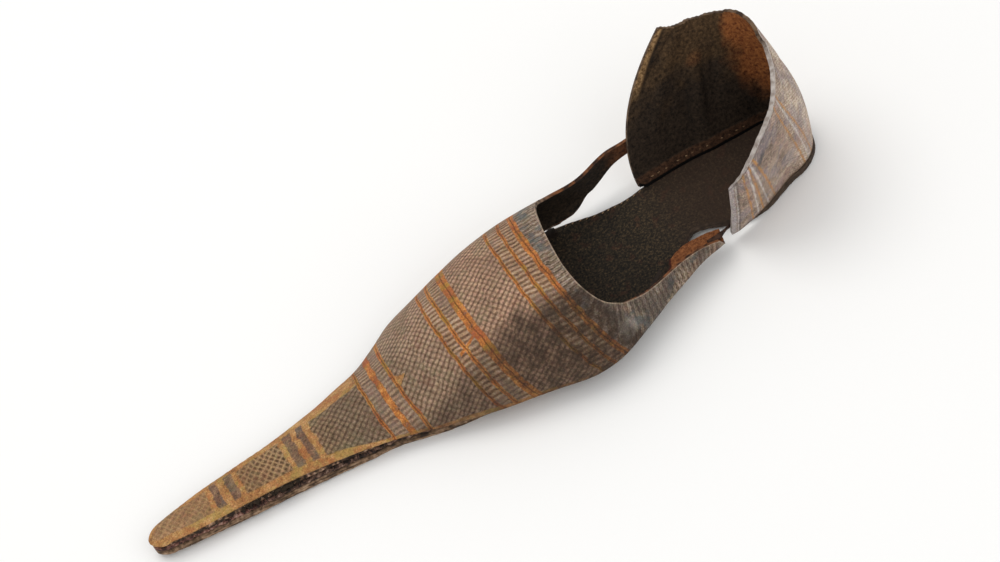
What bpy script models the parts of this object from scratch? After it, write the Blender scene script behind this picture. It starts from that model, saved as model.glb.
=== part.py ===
"""Medieval pointed shoe for the right foot: a turnshoe with a long point, standing empty on its sole.

The point lies along +X, the wearer's left (the inner, medial side of this right shoe) is +Y and +Z is
up. The origin is on the floor under the middle of the heel seat. Everything is in metres.

The shoe is put together from a single outsole, a rand in the seam round the forepart, a vamp whose two
wings run back from the throat, a tall quarter round the heel, and a short thong that ties the medial
wing to the quarter.
"""

from collections import namedtuple

import bmesh
import bpy
import numpy as np

# Driving sizes
SOLE_LENGTH = 0.371          # heel to the tip of the point
HEEL_BACK = 0.038            # from the middle of the seat to the back of the heel
SEAT_WIDTH = 0.048
WAIST_WIDTH = 0.042
TREAD_WIDTH = 0.080
POINT_WIDTH = 0.026          # sole across the middle of the point
SOLE_THICKNESS = 0.0038
SOLE_BEVEL = 0.0007
ARCH_HEIGHT = 0.0035         # waist above the floor
TOE_SPRING = 0.0028          # tip above the floor
HEEL_ROUND = 0.019           # length of the rounded back of the seat
TIP_ROUND = 0.007            # length of the rounded tip
END_CUT = 0.0004             # the rounded ends are cut off this far before they close
RAND_WIDTH = 0.0052
RAND_THICKNESS = 0.0022
RAND_ROUND = 0.0005
RAND_TIP_SHORT = 0.0006      # its outer edge ends this far behind the tip of the sole
RAND_INNER_SHORT = 0.0114    # its inner edge ends this far behind the tip of the sole
RAND_CLEFT = 0.0008          # between its inner edge and the middle line, where the point is narrow
VAMP_WALL = 0.0016
VAMP_SET_IN = 0.0014         # outer face of the vamp inside the edge of the sole, at the seam
VAMP_TIP_WALL = 0.35         # wall left at the tip, share of VAMP_WALL
VAMP_LEAST_HALF = 0.0006     # least distance of the foot of the wall from the ridge line, at the tip
VAMP_LEAST_BULGE = 0.0003    # least that the widest place stands out beyond the foot
VAMP_LEAST_BELLY = 0.0012    # least height of the widest place over the seam
VAMP_LEAST_CROWN = 0.0014    # least height of the ridge over the widest place
INSTEP_HEIGHT = 0.048        # top of the vamp at the throat, above the floor
BELLY_HEIGHT = 0.0120        # where the sides of the forepart stand out furthest
QUARTER_WALL = 0.0018
QUARTER_HEIGHT = 0.0760      # collar above the floor at the back of the heel
QUARTER_SET_IN = 0.0008
QUARTER_BELLY = 0.0030       # how far the quarter's side bows out between seam and collar
THONG_WIDTH = 0.0036
THONG_THICKNESS = 0.0014
THONG_SPAN_QUARTER = (0.968, 0.998)   # along the quarter's seam, from the end of the thong to the edge
THONG_SPAN_WING = (0.190, 0.203)      # along the wing, shares of SOLE_LENGTH
THONG_RUN = (0.0, 0.3, 0.7, 1.0)      # the same four places as shares of the thong's own length
THONG_SECTION = ((-1.0, -0.4), (-0.8, -1.0), (0.8, -1.0), (1.0, -0.4),
                 (1.0, 0.4), (0.8, 1.0), (-0.8, 1.0), (-1.0, 0.4))
THONG_QUARTER_RISE = 0.11    # where the thong crosses the quarter, share of its height
THONG_CLEARANCE = 0.0007     # between the flat thong and the curved walls it lies on
THONG_WING_ACROSS = 0.062    # where it crosses the wing, share of the arch from the seam
GAP = 0.0003                 # clearance where two pieces meet

# Outline of the sole. Each half width is a share of the named width in its row.
Edge = namedtuple("Edge", "at width medial lateral")
SOLE_EDGES = (
    Edge(0.000, SEAT_WIDTH, 0.360, -0.450),
    Edge(0.055, SEAT_WIDTH, 0.385, -0.455),
    Edge(0.110, SEAT_WIDTH, 0.515, -0.490),
    Edge(0.155, SEAT_WIDTH, 0.495, -0.535),
    Edge(0.205, WAIST_WIDTH, 0.425, -0.575),
    Edge(0.245, WAIST_WIDTH, 0.600, -0.545),
    Edge(0.280, TREAD_WIDTH, 0.400, -0.325),
    Edge(0.325, TREAD_WIDTH, 0.500, -0.405),
    Edge(0.400, TREAD_WIDTH, 0.555, -0.450),
    Edge(0.470, TREAD_WIDTH, 0.530, -0.455),
    Edge(0.540, TREAD_WIDTH, 0.465, -0.445),
    Edge(0.600, TREAD_WIDTH, 0.405, -0.430),
    Edge(0.636, TREAD_WIDTH, 0.350, -0.350),
    Edge(0.665, POINT_WIDTH, 0.935, -0.870),
    Edge(0.710, POINT_WIDTH, 0.830, -0.735),
    Edge(0.780, POINT_WIDTH, 0.660, -0.565),
    Edge(0.875, POINT_WIDTH, 0.480, -0.410),
    Edge(0.945, POINT_WIDTH, 0.330, -0.310),
    Edge(1.000, POINT_WIDTH, 0.200, -0.230),
)

# Sections of the vamp. stand: medial foot of the wall outside the sole's edge, as a share of
# TREAD_WIDTH. medial and lateral: widest places of the wall, shares of TREAD_WIDTH. crown: place of the
# ridge line across, share of TREAD_WIDTH. height: ridge over the floor, share of INSTEP_HEIGHT. belly:
# height of the widest place, share of BELLY_HEIGHT. full_medial and full_lateral: 2 is an ellipse, more
# is squarer. Behind the throat the ridge is only the line that the two wings lean towards.
Section = namedtuple("Section", "at stand medial lateral crown height belly full_medial full_lateral")
VAMP_SECTIONS = (
    Section(0.170, 0.070, 0.425, -0.410, 0.060, 1.020, 0.85, 2.0, 5.5),
    Section(0.205, 0.090, 0.452, -0.422, 0.060, 1.020, 0.85, 2.0, 5.0),
    Section(0.240, 0.020, 0.500, -0.462, 0.065, 1.015, 0.90, 2.0, 3.4),
    Section(0.280, 0.000, 0.568, -0.458, 0.070, 1.010, 0.95, 2.1, 2.3),
    Section(0.335, 0.000, 0.672, -0.455, 0.080, 1.000, 1.00, 2.2, 2.2),
    Section(0.375, 0.000, 0.738, -0.472, 0.095, 0.985, 1.00, 2.2, 2.25),
    Section(0.410, 0.000, 0.745, -0.482, 0.095, 0.975, 1.00, 2.2, 2.25),
    Section(0.465, 0.000, 0.670, -0.466, 0.080, 0.955, 1.00, 2.1, 2.15),
    Section(0.540, 0.000, 0.565, -0.430, 0.055, 0.840, 0.95, 2.0, 1.8),
    Section(0.600, 0.000, 0.445, -0.405, 0.030, 0.665, 0.80, 1.9, 1.4),
    Section(0.636, 0.000, 0.375, -0.330, 0.015, 0.530, 0.75, 1.8, 1.3),
    Section(0.665, 0.000, 0.325, -0.276, 0.010, 0.435, 0.72, 1.8, 1.4),
    Section(0.710, 0.000, 0.280, -0.226, 0.008, 0.360, 0.72, 1.8, 1.5),
    Section(0.780, 0.000, 0.218, -0.175, 0.005, 0.300, 0.72, 2.0, 1.7),
    Section(0.875, 0.000, 0.158, -0.152, 0.003, 0.255, 0.76, 2.1, 2.0),
    Section(0.945, 0.000, 0.110, -0.127, -0.004, 0.245, 0.80, 2.2, 2.2),
    Section(1.000, 0.000, 0.055, -0.080, -0.015, 0.245, 0.84, 2.2, 2.2),
)

# Edges of the vamp. at: share of SOLE_LENGTH from the back of the heel. rise: height in the arch of that
# section, 0 at its foot and 1 at its ridge. The rim runs along the medial wing, round the throat and
# back along the lateral strap.
Place = namedtuple("Place", "at rise")
MEDIAL_RIM = (
    Place(0.1900, 0.140),
    Place(0.2180, 0.240),
    Place(0.2500, 0.330),
    Place(0.2830, 0.420),
    Place(0.3130, 0.510),
    Place(0.3400, 0.610),
)
THROAT_MEDIAL = (
    Place(0.3400, 0.610),
    Place(0.3600, 0.740),
    Place(0.3730, 0.880),
    Place(0.3770, 0.960),
    Place(0.3740, 1.000),
)
THROAT_LATERAL = (
    Place(0.3660, 0.940),
    Place(0.3570, 0.790),
    Place(0.3460, 0.620),
)
LATERAL_RIM = (
    Place(0.2030, 0.600),
    Place(0.2240, 0.535),
    Place(0.2420, 0.515),
    Place(0.2640, 0.498),
    Place(0.2900, 0.500),
    Place(0.3200, 0.540),
    Place(0.3460, 0.620),
)
LATERAL_LOWER_EDGE = (
    Place(0.2030, 0.380),
    Place(0.2120, 0.345),
    Place(0.2350, 0.240),
    Place(0.2620, 0.120),
    Place(0.2900, 0.050),
    Place(0.3120, 0.012),
    Place(0.3350, 0.000),
)
WING_SLANT = 0.010           # the medial wing ends this share of SOLE_LENGTH further back at its foot

# Walls of the quarter, from its lateral front edge round the heel to its medial front edge.
# along: share of the seam. collar: height of the collar, share of QUARTER_HEIGHT. forward and out: how
# far the collar lies forward and outward of the seam, shares of QUARTER_HEIGHT. stand: seam outside the
# sole's edge, share of SEAT_WIDTH.
Wall = namedtuple("Wall", "along collar forward out stand")
QUARTER_WALLS = (
    Wall(0.000, 1.065, -0.550, -0.225, 0.000),
    Wall(0.110, 1.020, -0.410, -0.175, 0.000),
    Wall(0.220, 0.995, -0.290, -0.185, 0.000),
    Wall(0.310, 0.990, -0.185, -0.175, 0.000),
    Wall(0.400, 0.990, -0.090, -0.130, 0.000),
    Wall(0.490, 0.990, 0.010, -0.080, 0.000),
    Wall(0.560, 0.990, 0.075, -0.045, 0.000),
    Wall(0.630, 0.995, 0.065, -0.040, 0.000),
    Wall(0.695, 1.000, 0.015, 0.030, 0.000),
    Wall(0.760, 1.000, -0.030, 0.150, 0.000),
    Wall(0.870, 0.950, -0.060, 0.225, 0.020),
    Wall(0.935, 0.800, -0.045, 0.205, 0.080),
    Wall(1.000, 0.600, -0.060, 0.100, 0.150),
)

SEAT_END = 0.145             # share of SOLE_LENGTH where the flat seat ends and the arch begins
TREAD_START = 0.315          # where the arch meets the floor again
TREAD_END = 0.575            # where the toe spring begins
QUARTER_LATERAL_END = 0.226  # share of SOLE_LENGTH at the quarter's lateral front edge
QUARTER_MEDIAL_END = 0.168
RAND_MEDIAL_END = 0.270
RAND_LATERAL_END = 0.345

# Colours of the leathers, linear
SOLE_BROWN = (0.052, 0.030, 0.020, 1.0)
RAND_BROWN = (0.080, 0.045, 0.030, 1.0)
VAMP_TAN = (0.180, 0.110, 0.065, 1.0)
QUARTER_GREY = (0.200, 0.140, 0.100, 1.0)
THONG_DARK = (0.035, 0.022, 0.016, 1.0)

# How finely the curved leather is divided
SOLE_STATIONS = 44
RAND_STATIONS = 40
VAMP_ROWS = 30
WING_ROWS = 16
BELLY_COLUMNS = 4            # from the seam of the vamp to the widest place of its wall
WALL_COLUMNS = 5             # from there to the corner of the throat
THROAT_COLUMNS = 24
QUARTER_COLUMNS = 40
QUARTER_ROWS = 10
THONG_STATIONS = 8
BELLY_ACROSS = 0.10          # the widest place of the wall, counted across the arch from 0 to 1
BELLY_STEPS = 10             # samples of a section below its widest place, and above it
ARC_STEPS = 24
SEAM_STEPS = 80              # samples of each side of the quarter's seam
END_CROWDING = 0.55          # 0 spaces the stations of the sole evenly, 1 crowds them to its ends
TIP_CROWDING = 1.15          # 1 spaces the rows of the vamp evenly, more crowds them to the tip
THROAT_FADE = 0.40           # share of the vamp's rows over which the throat's spacing evens out
DIRECTION_STEP = 0.01        # share used to measure the direction of a wall
SHARP_ANGLE = 50.0           # degrees
MERGE_DISTANCE = 1e-6
LEATHER_ROUGHNESS = 0.72


def column(table, name):
    return np.array([getattr(row, name) for row in table], float)


def spline(knots, values, where):
    """Smooth curve through the rows of a table: a cubic with three-point slopes."""
    where = np.clip(np.asarray(where, float), knots[0], knots[-1])
    steps = np.diff(knots)
    rates = np.diff(values) / steps
    inner = (rates[:-1] * steps[1:] + rates[1:] * steps[:-1]) / (steps[:-1] + steps[1:])
    slopes = np.concatenate(([rates[0]], inner, [rates[-1]]))
    i = np.clip(np.searchsorted(knots, where, side="right") - 1, 0, len(steps) - 1)
    t = (where - knots[i]) / steps[i]
    rest = 1.0 - t
    return (values[i] * (1.0 + 2.0 * t) * rest ** 2 + slopes[i] * steps[i] * t * rest ** 2
            + values[i + 1] * t ** 2 * (3.0 - 2.0 * t) - slopes[i + 1] * steps[i] * t ** 2 * rest)


def station(share):
    """Place on the length of the shoe, from a share counted from the back of the heel."""
    return share * SOLE_LENGTH - HEEL_BACK


def share_of(x):
    return (x + HEEL_BACK) / SOLE_LENGTH


def sole_edges(x):
    """Medial and lateral edge of the sole, rounded at the seat and at the tip."""
    share = share_of(x)
    at = column(SOLE_EDGES, "at")
    width = column(SOLE_EDGES, "width")
    medial = spline(at, column(SOLE_EDGES, "medial") * width, share)
    lateral = spline(at, column(SOLE_EDGES, "lateral") * width, share)
    centre = (medial + lateral) / 2.0
    from_heel = np.clip(share * SOLE_LENGTH / HEEL_ROUND, 0.0, 1.0)
    from_tip = np.clip((1.0 - share) * SOLE_LENGTH / TIP_ROUND, 0.0, 1.0)
    round_end = np.sqrt(1.0 - (1.0 - from_heel) ** 2) * np.sqrt(1.0 - (1.0 - from_tip) ** 2)
    return centre + (medial - centre) * round_end, centre + (lateral - centre) * round_end


def floor_line(x):
    """Underside of the sole: flat at the seat and the tread, arched between them, sprung at the toe."""
    share = share_of(x)
    arch = np.clip((share - SEAT_END) / (TREAD_START - SEAT_END), 0.0, 1.0)
    spring = np.clip((share - TREAD_END) / (1.0 - TREAD_END), 0.0, 1.0)
    return ARCH_HEIGHT * np.sin(np.pi * arch) ** 2 + TOE_SPRING * spring ** 2


def rand_top(x):
    return floor_line(x) + SOLE_THICKNESS + GAP + RAND_THICKNESS


def end_spaced(count):
    """Shares from 0 to 1 that crowd towards both ends, where the outline turns."""
    even = np.linspace(0.0, 1.0, count)
    return (1.0 - END_CROWDING) * even + END_CROWDING * (1.0 - np.cos(np.pi * even)) / 2.0


def leather(name, color):
    material = bpy.data.materials.new(name)
    material.use_nodes = True
    shader = material.node_tree.nodes["Principled BSDF"]
    shader.inputs["Base Color"].default_value = color
    shader.inputs["Metallic"].default_value = 0.0
    shader.inputs["Roughness"].default_value = LEATHER_ROUGHNESS
    return material


def add_piece(name, points, faces, material):
    """One closed, smooth-shaded object from its points and faces."""
    mesh = bpy.data.meshes.new(name)
    mesh.from_pydata([tuple(map(float, point)) for point in points], [], faces)
    mesh.materials.append(material)
    form = bmesh.new()
    form.from_mesh(mesh)
    bmesh.ops.remove_doubles(form, verts=form.verts, dist=MERGE_DISTANCE)
    bmesh.ops.dissolve_degenerate(form, dist=MERGE_DISTANCE / 10.0, edges=form.edges)
    bmesh.ops.recalc_face_normals(form, faces=form.faces)
    if form.calc_volume(signed=True) < 0.0:
        bmesh.ops.reverse_faces(form, faces=form.faces)
    form.to_mesh(mesh)
    form.free()
    mesh.shade_smooth()
    mesh.set_sharp_from_angle(angle=np.radians(SHARP_ANGLE))
    piece = bpy.data.objects.new(name, mesh)
    bpy.context.collection.objects.link(piece)
    return piece


def hollow_shell(grid, wall, level_foot=False):
    """A thin wall: the outer face as a grid of points, some of them missing, and its inner face.

    The wall has one thickness a point or one for all, and is closed along its free edges.
    """
    rows, columns = grid.shape[:2]
    there = np.isfinite(grid[:, :, 0])
    wall = np.broadcast_to(wall, (rows, columns))
    form = bmesh.new()
    spots = {}
    for row, col in zip(*np.nonzero(there)):
        spots[row, col] = form.verts.new(grid[row, col])
    for row in range(rows - 1):
        for col in range(columns - 1):
            corners = ((row, col), (row, col + 1), (row + 1, col + 1), (row + 1, col))
            if all(corner in spots for corner in corners):
                form.faces.new([spots[corner] for corner in corners])
    form.normal_update()
    places = {vert: i for i, vert in enumerate(spots.values())}
    count = len(places)
    points = [vert.co.copy() for vert in places]
    for (row, col), vert in spots.items():
        inner = vert.co + vert.normal * wall[row, col]
        if level_foot and row == 0:
            inner.z = vert.co.z
        points.append(inner)
    faces = []
    for face in form.faces:
        ring = [places[vert] for vert in face.verts]
        faces += [ring[::-1], [count + i for i in ring]]
    for edge in form.edges:
        if edge.is_boundary:
            loop = edge.link_loops[0]
            a, b = places[loop.vert], places[loop.link_loop_next.vert]
            faces.append([a, b, count + b, count + a])
    form.free()
    return points, faces


def ring_faces(stations, ring):
    """Faces of a bar: closed rings of points, one a station, with a cap at each end."""
    faces = []
    for s in range(stations - 1):
        for k in range(ring):
            a, b = s * ring + k, s * ring + (k + 1) % ring
            faces.append((a, b, b + ring, a + ring))
    last = (stations - 1) * ring
    faces.append(tuple(range(ring))[::-1])
    faces.append(tuple(last + k for k in range(ring)))
    return faces


def make_outsole():
    """A single cut of thick leather: seat, waist, tread and the long point in one outline."""
    x = station(end_spaced(SOLE_STATIONS))
    x[0] += END_CUT
    x[-1] -= END_CUT
    medial, lateral = sole_edges(x)
    under = floor_line(x)
    middle = (medial + lateral) / 2.0
    bevel = np.minimum(SOLE_BEVEL, (medial - middle) / 2.0)
    top = under + SOLE_THICKNESS
    rings = np.stack([
        np.stack([x, medial - bevel, under], -1),
        np.stack([x, medial, under + SOLE_BEVEL], -1),
        np.stack([x, medial, top - SOLE_BEVEL], -1),
        np.stack([x, medial - bevel, top], -1),
        np.stack([x, lateral + bevel, top], -1),
        np.stack([x, lateral, top - SOLE_BEVEL], -1),
        np.stack([x, lateral, under + SOLE_BEVEL], -1),
        np.stack([x, lateral + bevel, under], -1),
    ], 1)
    faces = ring_faces(SOLE_STATIONS, rings.shape[1])
    return add_piece("outsole", rings.reshape(-1, 3), faces, leather("sole_leather", SOLE_BROWN))


def make_rand():
    """A thin strip sewn into the seam between sole and vamp, from one wing round the point to the other."""
    half = end_spaced(2 * RAND_STATIONS - 1)[RAND_STATIONS - 1:] * 2.0 - 1.0
    tip = 1.0 - RAND_TIP_SHORT / SOLE_LENGTH
    inner_tip = 1.0 - RAND_INNER_SHORT / SOLE_LENGTH
    sides = []
    for side, start in ((0, RAND_MEDIAL_END), (1, RAND_LATERAL_END)):
        share = start + (tip - start) * half
        x = station(share)
        y = sole_edges(x)[side]
        inner_x = station(start + (inner_tip - start) * half)
        edge = sole_edges(inner_x)
        middle = (edge[0] + edge[1]) / 2.0
        inward = -1.0 if side == 0 else 1.0
        inner_y = edge[side] + inward * RAND_WIDTH
        if side == 0:
            inner_y = np.maximum(inner_y, middle + RAND_CLEFT)
        else:
            inner_y = np.minimum(inner_y, middle - RAND_CLEFT)
        high, high_in = rand_top(x), rand_top(inner_x)
        low, low_in = high - RAND_THICKNESS, high_in - RAND_THICKNESS
        turn = inward * RAND_ROUND * np.clip((1.0 - share) * SOLE_LENGTH / TIP_ROUND, 0.0, 1.0)
        rings = np.stack([
            np.stack([inner_x, inner_y, low_in], -1),
            np.stack([x, y + turn, low], -1),
            np.stack([x, y, low + RAND_ROUND], -1),
            np.stack([x, y, high - RAND_ROUND], -1),
            np.stack([x, y + turn, high], -1),
            np.stack([inner_x, inner_y, high_in], -1),
        ], 1)
        sides.append(rings)
    rings = np.concatenate([sides[0], sides[1][::-1]])
    faces = ring_faces(len(rings), rings.shape[1])
    return add_piece("rand", rings.reshape(-1, 3), faces, leather("rand_leather", RAND_BROWN))


def vamp_section(share):
    """Outer line of the vamp's arch at one section, medial foot to ridge to lateral foot.

    Returns two polylines, each from its foot to the ridge, as (y, z) rows.
    """
    at = column(VAMP_SECTIONS, "at")

    def value(name):
        return float(spline(at, column(VAMP_SECTIONS, name), share))

    x = station(share)
    edges = sole_edges(x)
    foot_z = float(rand_top(x)) + GAP
    ridge_y, ridge_z = value("crown") * TREAD_WIDTH, value("height") * INSTEP_HEIGHT
    near_tip = np.clip((1.0 - share) * SOLE_LENGTH / TIP_ROUND, 0.0, 1.0)
    close = float(np.sqrt(1.0 - (1.0 - near_tip) ** 2))
    belly_z = max(value("belly") * BELLY_HEIGHT, foot_z + VAMP_LEAST_BELLY)
    ridge_z = belly_z + (max(ridge_z, belly_z + VAMP_LEAST_CROWN) - belly_z) * close
    halves = []
    for side, name, full in ((0, "medial", "full_medial"), (1, "lateral", "full_lateral")):
        inward = -1.0 if side == 0 else 1.0
        foot_y = float(edges[side]) + inward * VAMP_SET_IN
        if side == 0:
            foot_y += value("stand") * TREAD_WIDTH
        belly_y = ridge_y + (value(name) * TREAD_WIDTH - ridge_y) * close
        if side == 0:
            foot_y = max(foot_y, ridge_y + VAMP_LEAST_HALF)
            belly_y = max(belly_y, foot_y + VAMP_LEAST_BULGE)
        else:
            foot_y = min(foot_y, ridge_y - VAMP_LEAST_HALF)
            belly_y = min(belly_y, foot_y - VAMP_LEAST_BULGE)
        turn = np.linspace(0.0, np.pi / 2.0, BELLY_STEPS + 1)[:-1]
        low = np.stack([foot_y + (belly_y - foot_y) * np.sin(turn),
                        foot_z + (belly_z - foot_z) * (1.0 - np.cos(turn))], -1)
        turn = np.linspace(0.0, np.pi / 2.0, ARC_STEPS)
        power = 2.0 / value(full)
        high = np.stack([ridge_y + (belly_y - ridge_y) * np.cos(turn).clip(0.0) ** power,
                         belly_z + (ridge_z - belly_z) * np.sin(turn) ** power], -1)
        halves.append(np.concatenate([low, high]))
    return halves


def arc_shares(line):
    steps = np.linalg.norm(np.diff(line, axis=0), axis=1)
    run = np.concatenate(([0.0], np.cumsum(steps)))
    return run / run[-1]


def section_shares(line):
    """Share of each point of a half section: even along the wall below its widest place and above it."""
    low = 2.0 * BELLY_ACROSS * arc_shares(line[:BELLY_STEPS + 1])
    high = 2.0 * BELLY_ACROSS + (1.0 - 2.0 * BELLY_ACROSS) * arc_shares(line[BELLY_STEPS:])
    return np.concatenate([low, high[1:]])


def across_at(share, side, rise):
    """Place across the arch, 0 at the medial foot, 0.5 on the ridge, 1 at the lateral foot."""
    line = vamp_section(share)[0 if side > 0 else 1]
    foot, ridge = line[0, 1], line[-1, 1]
    run = float(np.interp(foot + rise * (ridge - foot), line[:, 1], section_shares(line)))
    return 0.5 * run if side > 0 else 1.0 - 0.5 * run


def vamp_point(share, across):
    line = vamp_section(share)[0 if across <= 0.5 else 1]
    run = 2.0 * (across if across <= 0.5 else 1.0 - across)
    shares = section_shares(line)
    return station(share), np.interp(run, shares, line[:, 0]), np.interp(run, shares, line[:, 1])


def edge_across(table, side, share):
    """Where an edge of the vamp lies across the arch at one section."""
    rise = float(spline(column(table, "at"), column(table, "rise"), share))
    return across_at(share, side, max(0.0, rise))


def lateral_foot(share):
    """Lower edge of the lateral wing across the arch: 1 on the seam, less where it has lifted off."""
    if share >= LATERAL_LOWER_EDGE[-1].at:
        return 1.0
    return edge_across(LATERAL_LOWER_EDGE, -1, share)


def throat_line(count):
    """Rim round the throat, evenly along its length: (share, across) of each column's start."""
    ends = np.array([(row.at, across_at(row.at, +1, row.rise)) for row in THROAT_MEDIAL]
                    + [(row.at, across_at(row.at, -1, row.rise)) for row in THROAT_LATERAL])
    places = np.array([vamp_point(share, across) for share, across in ends])
    run = arc_shares(places)
    even = np.linspace(0.0, 1.0, count)
    return np.stack([spline(run, ends[:, 0], even), spline(run, ends[:, 1], even)], -1)


def across_columns(medial_corner, throat, lateral_corner):
    """Places of the columns across the arch, with one always on the widest place of each wall."""
    belly = np.linspace(0.0, BELLY_ACROSS, BELLY_COLUMNS + 1)[:-1]
    wall = np.linspace(0.0, 1.0, WALL_COLUMNS + 1)[:-1]
    medial = BELLY_ACROSS + (medial_corner - BELLY_ACROSS) * wall
    lateral = 1.0 - BELLY_ACROSS + (lateral_corner - 1.0 + BELLY_ACROSS) * wall
    return np.concatenate([belly, medial, throat, lateral[::-1], 1.0 - belly[::-1]])


def vamp_grid():
    """Outer face of the vamp. The first rows hold the two wings only and stop at the throat."""
    throat = throat_line(THROAT_COLUMNS)
    side = BELLY_COLUMNS + WALL_COLUMNS
    share_at_start = np.concatenate([np.full(side, throat[0, 0]), throat[:, 0], np.full(side, throat[-1, 0])])
    start = across_columns(throat[0, 1], throat[:, 1], throat[-1, 1])
    columns = len(start)
    even = np.linspace(BELLY_ACROSS, 1.0 - BELLY_ACROSS, columns - 2 * BELLY_COLUMNS)
    target = across_columns(even[WALL_COLUMNS], even[WALL_COLUMNS:-WALL_COLUMNS], even[-WALL_COLUMNS - 1])
    grid = np.full((WING_ROWS + VAMP_ROWS, columns, 3), np.nan)
    for row in range(VAMP_ROWS):
        reach = 1.0 - (1.0 - row / (VAMP_ROWS - 1)) ** TIP_CROWDING
        blend = min(1.0, reach / THROAT_FADE)
        blend = blend * blend * (3.0 - 2.0 * blend)
        for col in range(columns):
            share = share_at_start[col] + (1.0 - share_at_start[col]) * reach
            grid[WING_ROWS + row, col] = vamp_point(share, start[col] + (target[col] - start[col]) * blend)
    for row in range(WING_ROWS):
        back = 1.0 - row / WING_ROWS
        for col in range(side + 1):
            slant = WING_SLANT * (1.0 - start[col] / throat[0, 1])
            share = throat[0, 0] + (MEDIAL_RIM[0].at - slant - throat[0, 0]) * back
            rim = edge_across(MEDIAL_RIM, +1, share)
            across = start[col]
            if across > BELLY_ACROSS:
                across += (across - BELLY_ACROSS) / (throat[0, 1] - BELLY_ACROSS) * (rim - throat[0, 1])
            grid[row, col] = vamp_point(share, across)
        share = throat[-1, 0] + (LATERAL_RIM[0].at - throat[-1, 0]) * back
        rim, foot = edge_across(LATERAL_RIM, -1, share), lateral_foot(share)
        for col in range(side + 1):
            part = (start[col - side - 1] - throat[-1, 1]) / (1.0 - throat[-1, 1])
            grid[row, columns - side - 1 + col] = vamp_point(share, rim + part * (foot - rim))
    return grid


def make_vamp():
    """The front of the upper, one piece of thin leather drawn over the foot and the long point."""
    grid = vamp_grid()
    from_tip = (station(1.0) - grid[:, :, 0]) / TIP_ROUND
    wall = -VAMP_WALL * np.clip(VAMP_TIP_WALL + (1.0 - VAMP_TIP_WALL) * from_tip, VAMP_TIP_WALL, 1.0)
    points, faces = hollow_shell(grid, wall)
    return add_piece("vamp", points, faces, leather("tooled_leather", VAMP_TAN))


def quarter_seam(along):
    """Foot of the quarter round the seat: points, and how far along the seam each lies."""
    lateral = np.linspace(QUARTER_LATERAL_END, 0.0, SEAM_STEPS)
    medial = np.linspace(0.0, QUARTER_MEDIAL_END, SEAM_STEPS)
    inset = QUARTER_SET_IN / SOLE_LENGTH
    x_l, x_m = station(np.maximum(lateral, inset)), station(np.maximum(medial, inset))
    y_l, y_m = sole_edges(x_l)[1] + QUARTER_SET_IN, sole_edges(x_m)[0] - QUARTER_SET_IN
    path = np.concatenate([np.stack([x_l, y_l], -1), np.stack([x_m, y_m], -1)[1:]])
    run = arc_shares(path)
    return np.interp(along, run, path[:, 0]), np.interp(along, run, path[:, 1])


def quarter_point(along, rise):
    """Outer face of the quarter at a share of its seam and of its height."""
    at = column(QUARTER_WALLS, "along")

    def value(name, size):
        return spline(at, column(QUARTER_WALLS, name) * size, along)

    x, y = quarter_seam(along)
    foot = floor_line(x) + SOLE_THICKNESS + GAP
    stand = value("stand", SEAT_WIDTH)
    side = np.cos(np.pi * along)
    bow = QUARTER_BELLY * np.sin(np.pi * rise)
    behind = np.sin(np.pi * along) ** 2
    return np.stack([
        x + value("forward", QUARTER_HEIGHT) * rise ** 2 - bow * behind,
        y + stand + value("out", QUARTER_HEIGHT) * rise - bow * side,
        foot + (value("collar", QUARTER_HEIGHT) - foot) * rise,
    ], -1)


def make_quarter():
    """The back of the upper, one tall piece round the heel with an open front."""
    along, rise = np.meshgrid(np.linspace(0.0, 1.0, QUARTER_COLUMNS), np.linspace(0.0, 1.0, QUARTER_ROWS))
    points, faces = hollow_shell(quarter_point(along, rise), QUARTER_WALL, level_foot=True)
    return add_piece("quarter", points, faces, leather("quarter_leather", QUARTER_GREY))


def wall_frame(point_at, first, second):
    """Point on a wall, with the unit directions up the wall and straight out of it towards the foot."""
    point = np.array(point_at(first, second), float)
    forward = np.array(point_at(first + DIRECTION_STEP, second), float) - point
    up = np.array(point_at(first, second + DIRECTION_STEP), float) - point
    out = np.cross(forward, up)
    up, out = up / np.linalg.norm(up), out / np.linalg.norm(out)
    return point, up, out if out[1] < 0.0 else -out


def make_thong():
    """A flat leather thong inside the medial side, from the end of the wing to the quarter."""
    ends = [wall_frame(quarter_point, along, THONG_QUARTER_RISE) for along in THONG_SPAN_QUARTER]
    ends += [wall_frame(vamp_point, share, THONG_WING_ACROSS) for share in THONG_SPAN_WING]
    walls = (QUARTER_WALL, QUARTER_WALL, VAMP_WALL, VAMP_WALL)
    run = np.array(THONG_RUN)
    middle = np.array([point + inward * (wall + THONG_CLEARANCE + THONG_THICKNESS / 2.0)
                       for (point, up, inward), wall in zip(ends, walls)])
    ups = np.array([up for point, up, inward in ends])
    inwards = np.array([inward for point, up, inward in ends])
    rings = []
    for place in np.linspace(0.0, 1.0, THONG_STATIONS):
        centre = np.array([spline(run, middle[:, axis], place) for axis in range(3)])
        up = np.array([spline(run, ups[:, axis], place) for axis in range(3)])
        inward = np.array([spline(run, inwards[:, axis], place) for axis in range(3)])
        rings.append([centre + up * THONG_WIDTH / 2.0 * a + inward * THONG_THICKNESS / 2.0 * b
                      for a, b in THONG_SECTION])
    rings = np.array(rings)
    faces = ring_faces(len(rings), rings.shape[1])
    return add_piece("side_thong", rings.reshape(-1, 3), faces, leather("thong_leather", THONG_DARK))


def build():
    for thing in list(bpy.data.objects):
        bpy.data.objects.remove(thing, do_unlink=True)
    shoe = bpy.data.objects.new("pointed_shoe", None)
    bpy.context.collection.objects.link(shoe)
    for make in (make_outsole, make_rand, make_vamp, make_quarter, make_thong):
        make().parent = shoe


build()
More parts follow.
